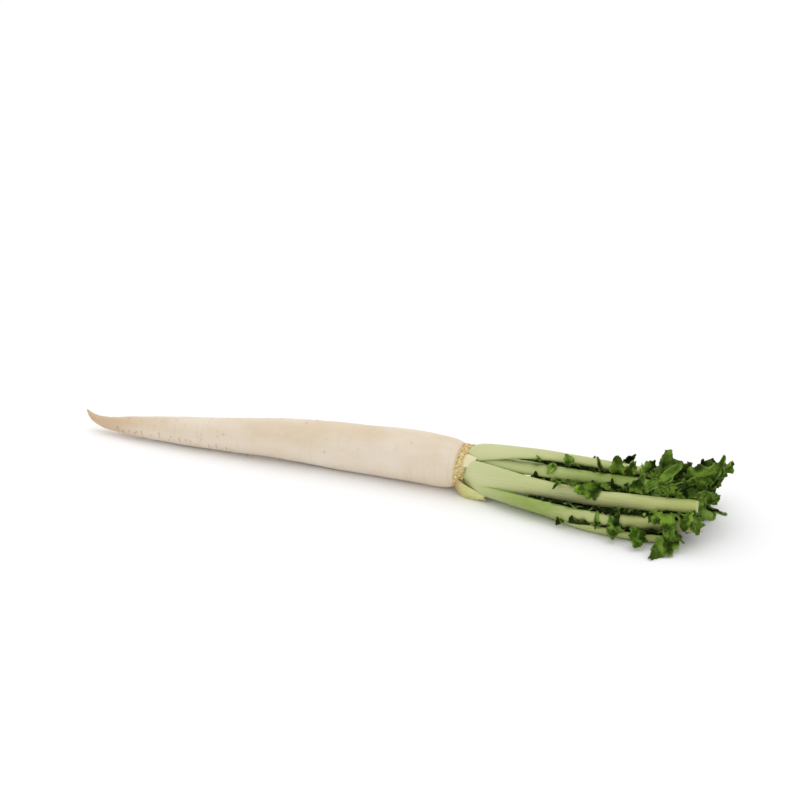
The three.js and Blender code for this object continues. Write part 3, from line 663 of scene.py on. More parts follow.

# Leaves from the outermost to the innermost. ring: how far a stalk's foot stands from the crown's
# middle; base, width: its widths at the foot and past foot, a share of its length; end: where it
# is cut; reach, pairs: the length and the number of its regular lobes; shade: how much deeper a
# green the stalk is painted near the foot and farther out, mostly painted shade where other stalks
# and leaves shade it and partly its own colour; at: [sideways, height] of its middle line at each
# of STALK_STATIONS and at its cut end.
LEAVES = [
    dict(ring=13.5, base=28, width=14.5, foot=0.4, end=224, reach=24, pairs=0, shade=(0.0, 0.0),
         at=[(-19, 25), (-23, 25), (-26, 25), (-28, 25.5), (-30, 29), (-31, 34)]),
    dict(ring=13.0, base=18, width=12.0, foot=0.4, end=221, reach=30, pairs=4, shade=(0.2, 0.2),
         at=[(16, 32), (23, 30), (27, 28), (28, 26), (31, 25), (33, 25)]),
    dict(ring=13.0, base=12, width=9.5, foot=0.4, end=214, reach=24, pairs=0, shade=(0.9, 0.3),
         at=[(-9, 7), (-22, 5), (-37, 5), (-45, 5), (-48, 5), (-44, 6.5)]),
    dict(ring=13.5, base=19, width=12.5, foot=0.45, end=219, reach=34, pairs=0, shade=(0.1, 0.1),
         at=[(-8, 43), (-4, 47), (0, 45.5), (2, 44), (4, 42), (6, 40)]),
    dict(ring=13.5, base=19, width=12.5, foot=0.4, end=222, reach=36, pairs=4, shade=(0.3, 0.3),
         at=[(21, 20), (31, 17), (38, 15), (42, 14), (47, 12), (50, 11)]),
    dict(ring=13.0, base=14, width=16.0, foot=0.25, end=229, reach=26, pairs=0, shade=(0.9, 0.1),
         at=[(-17, 12), (-31, 12.2), (-41, 13.2), (-44, 13.5), (-41, 15), (-33, 16.5)]),
    dict(ring=7.5, base=10, width=9.0, foot=0.4, end=218, reach=30, pairs=4, shade=(0.5, 0.5),
         at=[(4, 32), (8, 30), (9, 27), (9, 26), (9, 25), (9, 24)]),
    dict(ring=13.0, base=15, width=10.5, foot=0.4, end=216, reach=34, pairs=4, shade=(0.5, 0.5),
         at=[(11, 9), (19, 7), (23, 6.5), (25, 6.5), (27, 6.5), (28, 6.5)]),
    dict(ring=7.5, base=11, width=13.0, foot=0.3, end=220, reach=24, pairs=0, shade=(0.45, 0.95),
         at=[(-11, 34.5), (-12, 36), (-13, 37), (-13.5, 37.5), (-14, 38.5), (-15, 39)]),
]


def spline(points, t):
    """Points of a smooth curve through given points, at shares t of its run."""
    ends = np.vstack([2 * points[0] - points[1], points, 2 * points[-1] - points[-2]])
    place = np.clip(t, 0, 1) * (len(points) - 1)
    i = np.minimum(place.astype(int), len(points) - 2)
    w = (place - i)[:, None]
    x0, x1, x2, x3 = ends[i], ends[i + 1], ends[i + 2], ends[i + 3]
    t0, t1 = (x2 - x0) / 2, (x3 - x1) / 2
    return x1 + t0 * w + (-3 * x1 + 3 * x2 - 2 * t0 - t1) * w**2 + (2 * x1 - 2 * x2 + t0 + t1) * w**3


def unit(v):
    return v / (np.linalg.norm(v, axis=-1, keepdims=True) + 1e-12)


def stalk_line(n):
    """The points that stalk n's middle line passes through."""
    leaf = LEAVES[n]
    turn = n * GOLDEN_ANGLE
    rise = math.sin(turn) * leaf["ring"]
    foot = [FOOT_X + CROWN_LEAN * rise, -math.cos(turn) * leaf["ring"], CROWN[2] + rise]
    stations = STALK_STATIONS + [leaf["end"]]
    rest = [[x, y, z] for x, (y, z) in zip(stations, leaf["at"])]
    return np.array([foot, *rest]) + [CROWN[0], CROWN[1], 0]


def stalk_at(n, share):
    """Stalk n at an array of shares: middle, forward, outward, sideways, half width, half depth."""
    leaf = LEAVES[n]
    share = np.atleast_1d(np.asarray(share, float))
    line = stalk_line(n)
    t = np.linspace(0, 1, 201)
    steps = np.linalg.norm(np.diff(spline(line, t), axis=0), axis=1)
    run = np.concatenate([[0], np.cumsum(steps)])
    t = np.interp(share * run[-1], run, t)
    middle = spline(line, t)
    forward = unit(spline(line, t + 1e-4) - spline(line, t - 1e-4))
    turn = n * GOLDEN_ANGLE
    radial = np.array([0, -math.cos(turn), math.sin(turn)])
    away = unit(np.stack([0 * share, (middle[:, 1] - CROWN[1]) / 2, middle[:, 2] - CROWN[2] + 2], -1))
    out = lerp(radial, away, smooth(share / 0.3)[:, None])
    out = unit(out - (out * forward).sum(1, keepdims=True) * forward)
    side = unit(np.cross(forward, out))
    thinning = 1 - 0.14 * smooth((share - 0.5) / 0.5)
    width = lerp(leaf["base"], leaf["width"], smooth(share / leaf["foot"])) * thinning
    neck = 0.7 + 0.3 * smooth(share / 0.07)
    depth = STALK_DEPTH * leaf["width"] * thinning
    return middle, forward, out, side, width * neck / 2, depth * neck / 2


def stalk_shell(n):
    """Points, faces and marks of stalk n, ribbed, with a rounded cut end."""
    share = np.concatenate([np.linspace(0, END_STARTS, STALK_RINGS), [0.982, 0.988, 0.993, 0.997, 1.0]])
    cap = np.array([0.9, 0.75, 0.5, 0.25])
    up_stalk = np.concatenate([share, np.ones(len(cap))])
    middle, forward, out, side, half_width, half_depth = stalk_at(n, up_stalk)
    turn = np.arange(STALK_SIDES) / STALK_SIDES * 2 * math.pi
    across, up = np.cos(turn), np.sin(turn)
    groove = np.where(up < 0, 0.35 * (1 - across**2), 0)
    rounded = smooth((share - END_STARTS) / (1 - END_STARTS)) ** 1.4
    shrink = np.concatenate([1 - END_SHRINK * rounded, (1 - END_SHRINK) * cap])
    dish = np.concatenate([0 * share, 0.5 * (1 - cap**2) * half_depth[-1]])
    rib = np.abs(np.sin(RIBS / 2 * turn[None, :] + 1.2 * np.sin(5 * up_stalk[:, None])))
    height = (rib - 0.7) * np.concatenate([0.06 + 0.2 * smooth(share / 0.4), cap * 0.1])[:, None]
    sway = 0.18 * np.sin(19 * up_stalk[:, None] + 2 * turn[None, :] + n)
    wide = half_width[:, None] * shrink[:, None] + height + sway
    deep = half_depth[:, None] * shrink[:, None] + height + sway * 0.6
    rings = (
        (middle - forward * dish[:, None])[:, None, :]
        + (across * wide)[..., None] * side[:, None, :]
        + ((up * (1 - groove)) * deep)[..., None] * out[:, None, :]
    )
    rings[..., 2] = np.maximum(rings[..., 2], 0)
    points, faces = ring_loft(rings)
    count = len(share) + len(cap)
    cut = np.repeat(np.concatenate([smooth((share - 0.994) / 0.006), cap * 0 + 1]), STALK_SIDES)
    # The inner face, turned from the light, is painted a deeper green: partly its own colour, partly
    # painted shade.
    inner = np.tile(smooth(0.4 - 1.2 * up), count)
    # Painted shade, with some of the stalk's own deeper green: darker where other stalks and leaves shade
    # it.
    near, far = LEAVES[n]["shade"]
    shade = smooth(3 * up_stalk) * lerp(near, far, smooth((up_stalk - 0.35) / 0.25))
    marks = {
        "rib": np.append(rib.ravel(), [0, 0]),
        "up_stalk": np.append(np.repeat(up_stalk, STALK_SIDES), [0, 1]),
        "cut": np.append(cut, [0, 1]),
        "inner": np.append(inner, [0, 0]),
        "shade": np.append(np.repeat(shade, STALK_SIDES), [near, far]),
    }
    return points, faces, marks


def stalk_finish():
    material, tree, shader = new_finish("stalk_skin", 0.42, 0.15, (0.7, 1.0, 0.3), 0.002)
    shader.inputs["Specular IOR Level"].default_value = 0.35
    base = mix(tree, mark(tree, "up_stalk"), colour(203, 204, 158), colour(180, 185, 108))
    # Painted shade, partly the stalk's own deeper green: stalks lying under others are painted darker.
    base = mix(tree, mark(tree, "shade"), base, colour(130, 152, 60))
    patches = calc(tree, "MULTIPLY", uneven(tree, (14, 60, 60), 4), 0.25)
    base = mix(tree, patches, base, colour(158, 176, 92))
    foot = calc(tree, "SUBTRACT", 1.0, calc(tree, "MULTIPLY", mark(tree, "up_stalk"), 12.0, clamp=True))
    base = mix(tree, calc(tree, "MULTIPLY", foot, 0.5), base, colour(198, 202, 136))
    # Painted shade: the furrows between the ribs are painted a darker green.
    groove_shade = calc(tree, "POWER", calc(tree, "SUBTRACT", 1.0, mark(tree, "rib")), 2.0)
    base = mix(tree, calc(tree, "MULTIPLY", groove_shade, 0.2), base, colour(142, 164, 76))
    # The inner face is painted a deeper green: partly its own colour, partly painted shade.
    base = mix(tree, calc(tree, "MULTIPLY", mark(tree, "inner"), 0.75), base, colour(134, 166, 58))
    streaks = calc(tree, "MULTIPLY", uneven(tree, (16, 420, 420), 2, 0.45, 0.8), mark(tree, "up_stalk"))
    base = mix(tree, calc(tree, "MULTIPLY", streaks, 0.4), base, colour(214, 216, 172))
    pores = uneven(tree, (900, 900, 900), 2, 0.45, 0.6)
    pith = mix(tree, pores, colour(206, 210, 156), colour(170, 178, 104))
    base = mix(tree, mark(tree, "cut"), base, pith)
    tree.links.new(base, shader.inputs["Base Color"])
    add_bump(tree, shader, uneven(tree, (300, 2400, 2400), 3, 0.3, 0.7), 0.3, 0.0002)
    return material


STALK_MARKS = ("rib", "up_stalk", "cut", "inner", "shade")
stalk_material = stalk_finish()
stalk_shells = [stalk_shell(n) for n in range(len(LEAVES))]
for n, shell in enumerate(stalk_shells):
    stalk = make_piece(f"stalk_{n + 1}", [shell], stalk_material, STALK_MARKS)
    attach(stalk, "root")
    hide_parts(f"petiole_{n + 1}")

# ---------------------------------------------------------------- the bristles
# Short stiff white hairs all over the stalks, but for the few faces that lie on the table. Each
# is a three-sided spike that leans a little.


def bristle_tree(material):
    tree, given, out = new_modifier_tree("bristles", [
        ("Density", "NodeSocketFloat", 1.0), ("Length", "NodeSocketFloat", 0.001),
        ("Thickness", "NodeSocketFloat", 0.0001), ("Lowest", "NodeSocketFloat", 0.0),
        ("Seed", "NodeSocketInt", 1),
    ])
    spread = add_node(tree, "GeometryNodeDistributePointsOnFaces",
                      {"Mesh": given["Geometry"], "Density": given["Density"], "Seed": given["Seed"]})
    spike = add_node(tree, "GeometryNodeMeshCone",
                     {"Vertices": 3, "Radius Top": 0.0, "Radius Bottom": given["Thickness"],
                      "Depth": given["Length"]})
    tilt = add_node(tree, "FunctionNodeRandomValue",
                    {0: (-0.7, -0.7, -3.1), 1: (0.7, 0.7, 3.1), "Seed": given["Seed"]},
                    data_type="FLOAT_VECTOR")
    turned = add_node(tree, "FunctionNodeRotateRotation",
                      {"Rotation": spread.outputs["Rotation"], "Rotate By": tilt.outputs["Value"]},
                      rotation_space="LOCAL")
    size = add_node(tree, "FunctionNodeRandomValue", {2: 0.4, 3: 1.0, "Seed": given["Seed"]},
                    data_type="FLOAT")
    place = add_node(tree, "GeometryNodeInputPosition")
    parts = add_node(tree, "ShaderNodeSeparateXYZ", {"Vector": place.outputs["Position"]})
    clear = add_node(tree, "ShaderNodeMath", {0: parts.outputs["Z"], 1: given["Lowest"]},
                     operation="GREATER_THAN")
    placed = add_node(tree, "GeometryNodeInstanceOnPoints",
                      {"Points": spread.outputs["Points"], "Selection": clear.outputs[0],
                       "Instance": spike.outputs["Mesh"], "Rotation": turned.outputs["Rotation"],
                       "Scale": size.outputs[1]})
    real = add_node(tree, "GeometryNodeRealizeInstances", {"Geometry": placed.outputs["Instances"]})
    done = add_node(tree, "GeometryNodeSetMaterial",
                    {"Geometry": real.outputs["Geometry"], "Material": material})
    tree.links.new(done.outputs["Geometry"], out["Geometry"])
    return tree


bristle_material, bristle_nodes, bristle_shader = new_finish("bristle", 0.5)
bristle_colour = mix(bristle_nodes, uneven(bristle_nodes, (90, 90, 90), 1), colour(240, 240, 220),
                     colour(206, 214, 160))
bristle_nodes.links.new(bristle_colour, bristle_shader.inputs["Base Color"])
all_stalks = make_piece("all_stalks", stalk_shells, stalk_material)
bristles = grow("bristles", all_stalks.data, bristle_tree(bristle_material),
                {"Density": 60000.0, "Length": 1.7 * MM, "Thickness": 0.055 * MM,
                 "Lowest": 2.0 * MM, "Seed": 7})
bpy.data.objects.remove(all_stalks)
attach(bristles, "root")

# ---------------------------------------------------------------- the leaves
# Each stalk carries a dark green leafy edge up its inner face, with toothed lobes that were
# crumpled when the greens lay on each other. The edge and the lobes are thin curved sheets, with
# sunken veins and puckers between them, and paler below. Painted shade darkens their crumpled
# hollows, most of the leafy edge and the lobes that lie tucked away.

CLEARANCE = 0.35  # between a stalk and its leafy edge
WING_START = 0.3  # how far up its stalk the leafy edge starts
WING_EDGE = 4.0  # how far it stands out beside the stalk
BLADE_THICKNESS = 0.8
LEAF_THICKNESS = 0.55
LOBE_ROOM = 1.0  # what a lobe keeps clear of every stalk
LOBE_FACE = np.array([0.3, -0.85, 0.4])  # the way that the pressed lobes face
SIDE_VEINS = 6  # on each half of a lobe
# How much each kind of lobe lies in view: the less, the more often it is painted with shade.
PAIR_SHOWN = 1.6
PLACED_SHOWN = 2.4
FRINGE_SHOWN = 0.25
PLACED_CALM = 0.8  # how strongly the placed lobes crumple, beside the others

# Lobes where the leaves were pressed: leaf, how far up, edge, where the tip ends, width, curl.
PLACED_LOBES = [
    (3, 0.33, 1, (123, -11, 50), 3, 0.2), (3, 0.39, 1, (136, -20, 37), 8, 0.3),
    (8, 0.42, 1, (145, -35, 31), 6, 1.7), (3, 0.46, 1, (149, -9, 54), 10, 0.9),
    (3, 0.59, 1, (178, -8, 56), 9, 1.2), (3, 0.65, 1, (195, -6, 59), 17, 0.6),
    (8, 0.52, 1, (151, -28, 36), 9, 0.8), (8, 0.62, 1, (165, -36, 35), 17, 0.9),
    (8, 0.7, 1, (186, -27, 38), 10, -0.7), (8, 0.74, 1, (223, -23, 55), 14, 0.8),
    (3, 0.77, 1, (227, -9, 60), 15, -0.8), (3, 0.85, 1, (237, -2, 69), 21, 1.2),
    (8, 0.8, 1, (256, -21, 67), 17, -0.5), (3, 0.96, 1, (283, -14, 70), 28, 0.6),
    (1, 0.97, -1, (287, 10, 67), 22, 1.1), (6, 0.97, 1, (289, 2, 50), 16, -1.2),
    (8, 0.96, 1, (289, -14, 37), 18, 0.7), (8, 0.92, 1, (278, -17, 28), 15, 0.5),
    (0, 0.8, -1, (250, -24, 50), 15, -0.6), (0, 0.91, -1, (270, -23, 49), 17, 0.6),
    (0, 0.62, 1, (190, -55, 9), 10, 0.5), (0, 0.8, 1, (256, -52, 22), 13, 0.7),
    (5, 0.66, -1, (211, -60, 12), 12, -1.9), (2, 0.5, -1, (153, -49, 4), 8, 0.5),
    (2, 0.83, -1, (227, -65, 3), 19, 1.2), (2, 0.96, -1, (256, -61, 13), 26, 1.0),
    (5, 0.9, -1, (274, -46, 25), 10, 0.7), (5, 0.96, -1, (277, -42, 12), 18, -0.6),
    (2, 0.985, -1, (245, -78, 2), 22, -0.4),
    (0, 0.76, -1, (257, -18, 64), 13, 0.3), (0, 0.84, -1, (262, -20, 50), 16, 0.9),
    (0, 0.90, -1, (276, -16, 44), 18, 1.2), (0, 0.95, -1, (286, -18, 40), 18, -0.9),
    (8, 0.84, 1, (264, -16, 52), 17, 1.0), (8, 0.90, 1, (280, -14, 54), 20, 0.8),
    (6, 0.93, 1, (288, -8, 58), 22, 1.1), (3, 0.90, 1, (262, -4, 62), 20, -0.8),
    (3, 0.80, 1, (240, -8, 54), 15, 1.3), (3, 0.70, 1, (212, -6, 56), 11, 1.4),
    (2, 0.72, -1, (206, -56, 3), 13, 1.6), (5, 0.80, 1, (252, -33, 27), 16, 0.9),
    (5, 0.93, -1, (268, -54, 20), 17, 1.3), (5, 0.985, -1, (267, -48, 30), 15, -0.9),
    (5, 0.86, -1, (258, -60, 13), 18, 0.8),
]

# Fringes of small crumpled lobes between the stalks: leaf, edge, from and to up the stalk, how
# many, how long, and the way that they hang.
FRINGES = [
    (0, 1, 0.34, 0.94, 50, 6.5, (0.6, 0.45, -0.8)),
    (0, 1, 0.28, 0.90, 36, 5.0, (0.7, 0.45, -1.0)),
    (0, -1, 0.60, 0.88, 16, 8.0, (0.6, 0.6, 0.5)),
    (8, 1, 0.44, 0.95, 34, 8.5, (0.7, 0.1, -0.5)),
    (3, 1, 0.50, 0.95, 14, 7.0, (0.7, -0.1, -0.6)),
    (5, -1, 0.60, 0.93, 16, 5.5, (0.7, 0.2, -0.9)),
    (5, -1, 0.62, 0.80, 10, 7.0, (0.7, -0.7, -0.6)),
    (5, 1, 0.40, 0.95, 26, 7.0, (0.7, 0.8, 0.2)),
    (2, 1, 0.62, 0.95, 14, 7.0, (0.7, 0.6, 0.0)),
    (6, 1, 0.60, 0.97, 20, 12.0, (0.9, -0.3, 0.0)),
    (1, 1, 0.70, 0.97, 16, 12.0, (0.9, -0.3, 0.2)),
]

STALK_SAMPLES = [stalk_at(n, np.linspace(0, 1, 160)) for n in range(len(LEAVES))]


def settle(points, n, free):
    """Moves points of leaf n out of every stalk and off the table; free is 0 where they grow on
    their own stalk."""
    for _ in range(2):
        for k, (middle, _, out, side, half_width, half_depth) in enumerate(STALK_SAMPLES):
            gaps = ((points[:, None, :] - middle[None, :, :]) ** 2).sum(2)
            near = gaps.argmin(1)
            off = points - middle[near]
            loose = smooth(free / 0.4) if k == n else np.ones(len(points))
            wide, deep = half_width[near] + LOBE_ROOM, half_depth[near] + LOBE_ROOM
            sideways = (off * side[near]).sum(1)
            outwards = (off * out[near]).sum(1)
            depth = np.hypot(sideways / (wide * loose + 1e-6), outwards / (deep * loose + 1e-6))
            inside = (depth < 1) & (np.linalg.norm(off, axis=1) < wide)
            push = np.where(inside, 1 / np.maximum(depth, 0.2) - 1, 0)[:, None]
            points = points + push * (sideways[:, None] * side[near] + outwards[:, None] * out[near])
    points[:, 2] = np.maximum(points[:, 2], BLADE_THICKNESS / 2)
    return points


def wing_point(n, share, v):
    """Points of the leafy edge of leaf n: v is 0 under its stalk and -1 and 1 at the two rims."""
    middle, _, out, side, half_width, half_depth = stalk_at(n, share)
    waved = 1 + 0.25 * np.sin(31 * share + n)
    rim = lerp(1.8, WING_EDGE, smooth((share - WING_START) / 0.4)) * waved
    under = -half_depth - CLEARANCE - BLADE_THICKNESS / 2 - 0.6
    rise = lerp(under, -0.3 * half_depth - 1.0, np.abs(v))
    return middle + side * (v * (half_width + rim))[:, None] + out * rise[:, None]


def lobe_outline(s):
    """How wide a lobe is along its length, as a share of its width."""
    return (0.36 + 0.64 * np.sin(math.pi * s**0.85)) * (1 - 0.5 * s**5)


def clouds(points, size, seed):
    """Smooth noise, about -0.6 to 0.6, at points in mm, with lumps about size apart."""
    shift = Vector((7.31 * seed % 97, 3.17 * seed % 89, 5.77 * seed % 83))
    return np.array([noise.noise(Vector(p) / size + shift) for p in points.tolist()])


def teeth(s, beats, start):
    """A saw-toothed edge from 0 to 1, its teeth pointing to the tip, with small teeth on them."""
    large = (s * beats + start) % 1.0
    small = (s * beats * 3.4 + 2 * start) % 1.0
    large = np.where(large < 0.72, large / 0.72, (1 - large) / 0.28)
    small = np.where(small < 0.7, small / 0.7, (1 - small) / 0.3)
    return 0.72 + 0.34 * large + 0.12 * small


def lobe_shell(n, lobe):
    """One toothed, arched, twisted and crumpled lobe of leaf n."""
    rows, cols = (48, 21) if lobe["length"] > 11 else (26, 13)
    s, v = np.meshgrid(np.linspace(0, 1, rows), np.linspace(-1, 1, cols), indexing="ij")
    s, v = s.ravel(), v.ravel()
    curl, length, width, seed = (lobe[key] for key in ("curl", "length", "width", "seed"))
    across = unit(np.cross(lobe["face"], lobe["heading"]))
    bend = curl * s
    normal = np.outer(np.cos(bend), lobe["face"]) + np.outer(np.sin(bend), lobe["heading"])
    twist = (lobe["twist"] * s**1.3)[:, None]
    sideways = across * np.cos(twist) + normal * np.sin(twist)
    upwards = normal * np.cos(twist) - across * np.sin(twist)

    # The outline: its two edges have teeth of their own.
    beats = lobe["teeth"] + 0.3 + 1.2 * np.where(v > 0, draw(seed + 31), draw(seed + 32))
    tooth = teeth(s, beats, np.where(v > 0, draw(seed + 33), draw(seed + 34)))
    tooth = lerp(1.0, tooth, smooth(s / 0.12) * np.abs(v) ** 0.6)
    half = width / 2 * lobe_outline(s) * tooth * np.where(v > 0, 1.0, lerp(0.75, 1.1, draw(seed + 35)))
    lean = 0.12 * length * (tooth - 0.9) * np.abs(v) ** 2

    # The relief: a fold along the midrib, rolled margins, crumples, and puckers between the veins.
    roll = lobe["fold"] + lobe["roll"] * v**2 * smooth(3 * s)
    flat = np.stack([s * length, v * half, np.zeros(len(s))], axis=-1)
    crumple = 0.30 * width * clouds(flat, 0.45 * width + 1, seed)
    crumple += 0.16 * width * (0.3 - np.abs(clouds(flat, 0.2 * width + 1, seed + 5)))
    swing = np.sin(lobe["ripples"] * s + lobe["phase"] + np.where(v > 0, 1.9, 0))
    ripple = lobe["wave"] * swing * v * v * s
    veins = (s - 0.24 * np.abs(v)) * SIDE_VEINS
    pucker = np.abs(np.sin(math.pi * veins)) * (1 - np.exp(-12 * np.abs(v))) * smooth(s / 0.15)
    lumps = lobe["calm"] * crumple * (0.35 + 0.65 * np.abs(v)) * smooth(s / 0.2)
    relief = ripple + lumps + 0.045 * width * pucker
    points = (
        lobe["root"]
        + np.outer(length * np.sin(bend) / curl + lean, lobe["heading"])
        + np.outer(length * (np.cos(bend) - 1) / curl, lobe["face"])
        + sideways * (v * half * np.cos(roll))[:, None]
        + upwards * (np.abs(v) * half * np.sin(roll) + relief)[:, None]
    )
    grid = settle(points, n, s).reshape(rows, cols, 3)
    rib = np.exp(-((v / 0.10) ** 2)) * (1 - 0.7 * s)
    thickness = LEAF_THICKNESS * (1 - 0.35 * np.abs(v) ** 4 + 0.9 * rib)
    sheet, faces = thick_sheet(grid, thickness.reshape(rows, cols))
    # Painted shade: the hollows of the crumples, and the lobes that are shown less, are painted darker.
    low = smooth(0.55 - 7 * crumple / width)
    depth = 1 - 0.1 * lobe["shown"]
    deep = smooth(3 * draw(seed + 60) - lobe["shown"])
    marks = {
        "along": np.tile(s, 2),
        "across": np.tile(v, 2),
        "under": np.repeat([0.0, 1.0], len(s)),
        "tone": draw(seed + 50),
        "painted_shade": np.clip(depth * np.concatenate([low, 1 - low]) + deep, 0, 1),
    }
    return sheet, faces, marks


def lobe_on(n, share, hand, seed, step, tip, facing, width, curl, shown):
    """A lobe of leaf n on one edge of its stalk, from its root by a step or to a tip; the less it
    is shown, the more often it is painted with shade."""
    root = wing_point(n, np.array([share]), np.array([0.9 * hand]))[0]
    chord = tip - root if tip is not None else step
    length = np.linalg.norm(chord) * (curl / 2) / math.sin(curl / 2)
    chord = unit(chord)
    flat = unit(facing - np.dot(facing, chord) * chord)
    calm = PLACED_CALM if tip is not None else 1.0
    return dict(
        root=root,
        heading=chord * math.cos(curl / 2) + flat * math.sin(curl / 2),
        face=flat * math.cos(curl / 2) - chord * math.sin(curl / 2),
        length=length,
        width=width,
        curl=curl,
        fold=calm * lerp(0.1, 0.7, draw(seed + 7)),
        roll=calm * lerp(-0.9, 1.1, draw(seed + 11)),
        twist=calm * lerp(-0.9, 0.9, draw(seed + 15)),
        wave=length * lerp(0.05, 0.11, draw(seed + 8)),
        ripples=lerp(7, 11, draw(seed + 9)),
        phase=6.3 * draw(seed + 10),
        teeth=3 if length > 20 else 2 if length > 11 else 1,
        calm=calm,
        shown=shown,
        seed=seed,
    )


def lobes_of(n):
    """The lobes of leaf n: regular pairs up the stalk, the placed ones, and its fringes."""
    made = []
    leaf = LEAVES[n]
    for pair in range(leaf["pairs"]):
        for hand in (-1, 1):
            seed = n * 100 + pair * 10 + hand
            up = min((pair + 0.5 * draw(seed)) / (leaf["pairs"] - 0.6), 1)
            share = lerp(WING_START + 0.1, 0.965, up)
            _, forward, out, side, _, _ = (part[0] for part in stalk_at(n, share))
            length = lerp(9, leaf["reach"], up**1.4) * lerp(0.85, 1.15, draw(seed + 1))
            step = unit(
                side * hand * lerp(0.85, 0.4, up)
                + forward * lerp(0.45, 0.95, up * draw(seed + 2))
                + out * lerp(-0.25, 0.4, draw(seed + 3))
            ) * length
            facing = side * hand * lerp(-0.4, 0.6, draw(seed + 4)) - out
            width = length * lerp(0.62, 0.85, draw(seed + 5))
            curl = lerp(-1.0, 1.4, draw(seed + 6))
            made.append(lobe_on(n, share, hand, seed, step, None, facing, width, curl, PAIR_SHOWN))
    for i, (leaf_n, up, edge, tip, width, curl) in enumerate(PLACED_LOBES):
        if leaf_n == n:
            tip = np.array(tip, float) + [0, CROWN[1], 0]
            seed = 900 + 7 * i
            made.append(lobe_on(n, up, edge, seed, None, tip, LOBE_FACE, width, curl, PLACED_SHOWN))
    for f, (leaf_n, edge, low, high, count, size, hang) in enumerate(FRINGES):
        for k in range(count if leaf_n == n else 0):
            seed = 3000 + 200 * f + 11 * k
            share = lerp(low, high, (k + 0.7 * draw(seed)) / count)
            length = size * lerp(0.6, 1.35, draw(seed + 1))
            turn = np.array([draw(seed + 2) - 0.5, draw(seed + 3) - 0.5, draw(seed + 4) - 0.5])
            step = unit(np.array(hang) + 1.3 * turn) * length
            curl = lerp(-2.0, 2.2, draw(seed + 5)) + 0.01
            facing = LOBE_FACE + 0.9 * (np.array([draw(seed + 12), draw(seed + 13), draw(seed + 14)]) - 0.5)
            width = length * 0.8
            made.append(lobe_on(n, share, edge, seed, step, None, facing, width, curl, FRINGE_SHOWN))
    return made


def wing_shell(n):
    """The leafy edge that runs up the inner face of stalk n, cupped round it, ruffled at its rims."""
    rows, cols = 200, 21
    share, v = np.meshgrid(np.linspace(WING_START, 0.985, rows), np.linspace(-1, 1, cols), indexing="ij")
    share, v = share.ravel(), v.ravel()
    run = 220 * share
    place = np.stack([run, 3.0 * v, np.zeros(len(v))], axis=-1)
    torn = clouds(place * [1, 0, 0] + [0, 1, 0] * np.sign(v)[:, None] * 30, 6.0, n)
    reach = 1 + (1.1 * torn - 0.1) * np.abs(v) ** 3
    points = wing_point(n, share, v * reach)
    _, _, out, _, _, _ = stalk_at(n, share)
    ruffle = 5.5 * clouds(place, 7.0, n + 20) * np.abs(v) ** 3
    ruffle += 2.0 * clouds(place, 2.6, n + 40) * np.abs(v) ** 3
    points = points + out * (ruffle * smooth((share - WING_START) / 0.15))[:, None]
    grid = settle(points, n, np.zeros(len(points))).reshape(rows, cols, 3)
    sheet, faces = thick_sheet(grid, LEAF_THICKNESS)
    marks = {
        "along": np.tile(share * 9 % 1.0, 2),
        "across": np.tile(v, 2),
        "under": np.repeat([0.0, 1.0], len(share)),
        "tone": draw(n + 70),
        # Painted shade over most of the leafy edge, lighter only where its ruffles stand out.
        "painted_shade": np.tile(smooth(1.05 - 0.4 * ruffle), 2),
    }
    return sheet, faces, marks


def leaf_finish():
    material, tree, shader = new_finish("leaf_blade", 0.5)
    shader.inputs["Specular IOR Level"].default_value = 0.05
    base = mix(tree, uneven(tree, (90, 90, 90), 4, 0.4, 0.6), colour(134, 172, 56), colour(52, 90, 12))
    base = mix(tree, calc(tree, "MULTIPLY", mark(tree, "tone"), 0.4), base, colour(158, 192, 86))
    base = mix(tree, calc(tree, "MULTIPLY", mark(tree, "under"), 0.3), base, colour(138, 164, 82))
    away = calc(tree, "ABSOLUTE", mark(tree, "across"))
    ribbed = calc(tree, "SUBTRACT", mark(tree, "along"), calc(tree, "MULTIPLY", away, 0.24))
    beat = calc(tree, "FRACT", calc(tree, "ADD", calc(tree, "MULTIPLY", ribbed, SIDE_VEINS), 10.5))
    gap = calc(tree, "ABSOLUTE", calc(tree, "SUBTRACT", beat, 0.5))
    side_vein = calc(tree, "SUBTRACT", 1.0, calc(tree, "MULTIPLY", gap, 9.0), clamp=True)
    thin_rib = calc(tree, "SUBTRACT", 1.0, calc(tree, "MULTIPLY", away, 7.0), clamp=True)
    vein = calc(tree, "MAXIMUM", calc(tree, "MULTIPLY", side_vein, 0.45), thin_rib)
    base = mix(tree, calc(tree, "MULTIPLY", vein, 0.7), base, colour(166, 186, 104))
    rim = calc(tree, "MULTIPLY", calc(tree, "POWER", away, 12.0), 0.6)
    base = mix(tree, rim, base, colour(160, 184, 98))
    # Painted shade: crumpled hollows, leafy edges and tucked-away lobes are painted near black-green.
    base = mix(tree, calc(tree, "MULTIPLY", mark(tree, "painted_shade"), 0.94), base, colour(6, 22, 0))
    tree.links.new(base, shader.inputs["Base Color"])
    net = add_node(tree, "ShaderNodeTexVoronoi", {"Scale": 700.0}, feature="DISTANCE_TO_EDGE")
    height = calc(tree, "SUBTRACT", net.outputs["Distance"], calc(tree, "MULTIPLY", vein, 0.4))
    add_bump(tree, shader, height, 0.7, 0.0008)
    return material


LEAF_MARKS = ("along", "across", "under", "tone", "painted_shade")
leaf_material = leaf_finish()
for n in range(len(LEAVES)):
    shells = [wing_shell(n)] + [lobe_shell(n, lobe) for lobe in lobes_of(n)]
    leaf = make_piece(f"leaf_{n + 1}", shells, leaf_material, LEAF_MARKS)
    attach(leaf, "root")
    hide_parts(f"blade_{n + 1}")

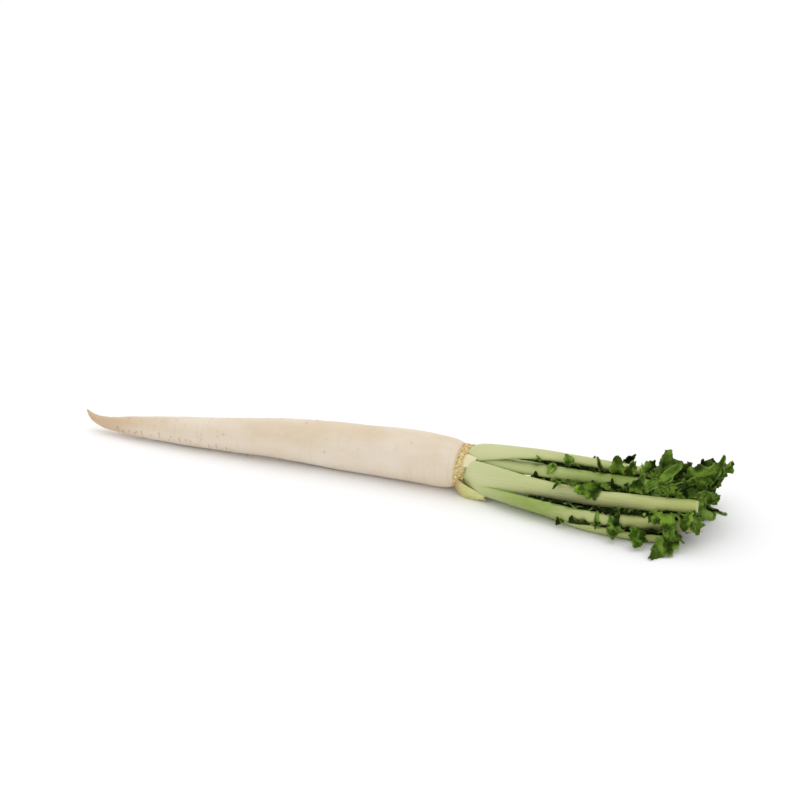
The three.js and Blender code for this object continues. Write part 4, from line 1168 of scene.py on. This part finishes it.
# ---------------------------------------------------------------- the table, the light, the camera
# A white table in soft daylight, seen from a little above on the side of the crown's stubs.

FLOOR_SIZE = 6.0
CAMERA_TURN = math.radians(19.832)
CAMERA_HEIGHT = math.radians(24.0)
CAMERA_AIM = Vector((-0.0697, 0.1624, 0.0))
CAMERA_DISTANCE = 2.2019
CAMERA_LENS = 100.0
DAYLIGHT = 1.0
WINDOW_PLACE = (-0.15, 0.45, 1.9)
WINDOW_SIZE = 1.6
WINDOW_POWER = 6.0

table_material, _, table_shader = new_finish("table", 0.9)
table_shader.inputs["Base Color"].default_value = (0.96, 0.96, 0.965, 1)
table_shader.inputs["Specular IOR Level"].default_value = 0.1
bpy.ops.mesh.primitive_plane_add(size=FLOOR_SIZE)
table = bpy.context.active_object
table.name = "table"
table.data.materials.append(table_material)

world = bpy.data.worlds.new("daylight")
world.use_nodes = True
world.node_tree.nodes["Background"].inputs["Color"].default_value = (1, 1, 1, 1)
world.node_tree.nodes["Background"].inputs["Strength"].default_value = DAYLIGHT
bpy.context.scene.world = world


def add_light(name, place, size, power):
    """A square soft light at a place, turned to the radish."""
    light = bpy.data.lights.new(name, "AREA")
    light.size = size
    light.energy = power
    lamp = bpy.data.objects.new(name, light)
    lamp.location = place
    lamp.rotation_euler = (-Vector(place)).to_track_quat("-Z", "Y").to_euler()
    bpy.context.scene.collection.objects.link(lamp)


add_light("window", WINDOW_PLACE, WINDOW_SIZE, WINDOW_POWER)

camera = bpy.data.objects.new("camera", bpy.data.cameras.new("camera"))
bpy.context.scene.collection.objects.link(camera)
back = Vector((
    math.sin(CAMERA_TURN) * math.cos(CAMERA_HEIGHT),
    -math.cos(CAMERA_TURN) * math.cos(CAMERA_HEIGHT),
    math.sin(CAMERA_HEIGHT),
))
camera.data.lens = CAMERA_LENS
camera.data.clip_end = 20
camera.location = CAMERA_AIM + back * CAMERA_DISTANCE
camera.rotation_euler = (-back).to_track_quat("-Z", "Y").to_euler()
bpy.context.scene.camera = camera
bpy.context.scene.view_settings.view_transform = "Standard"
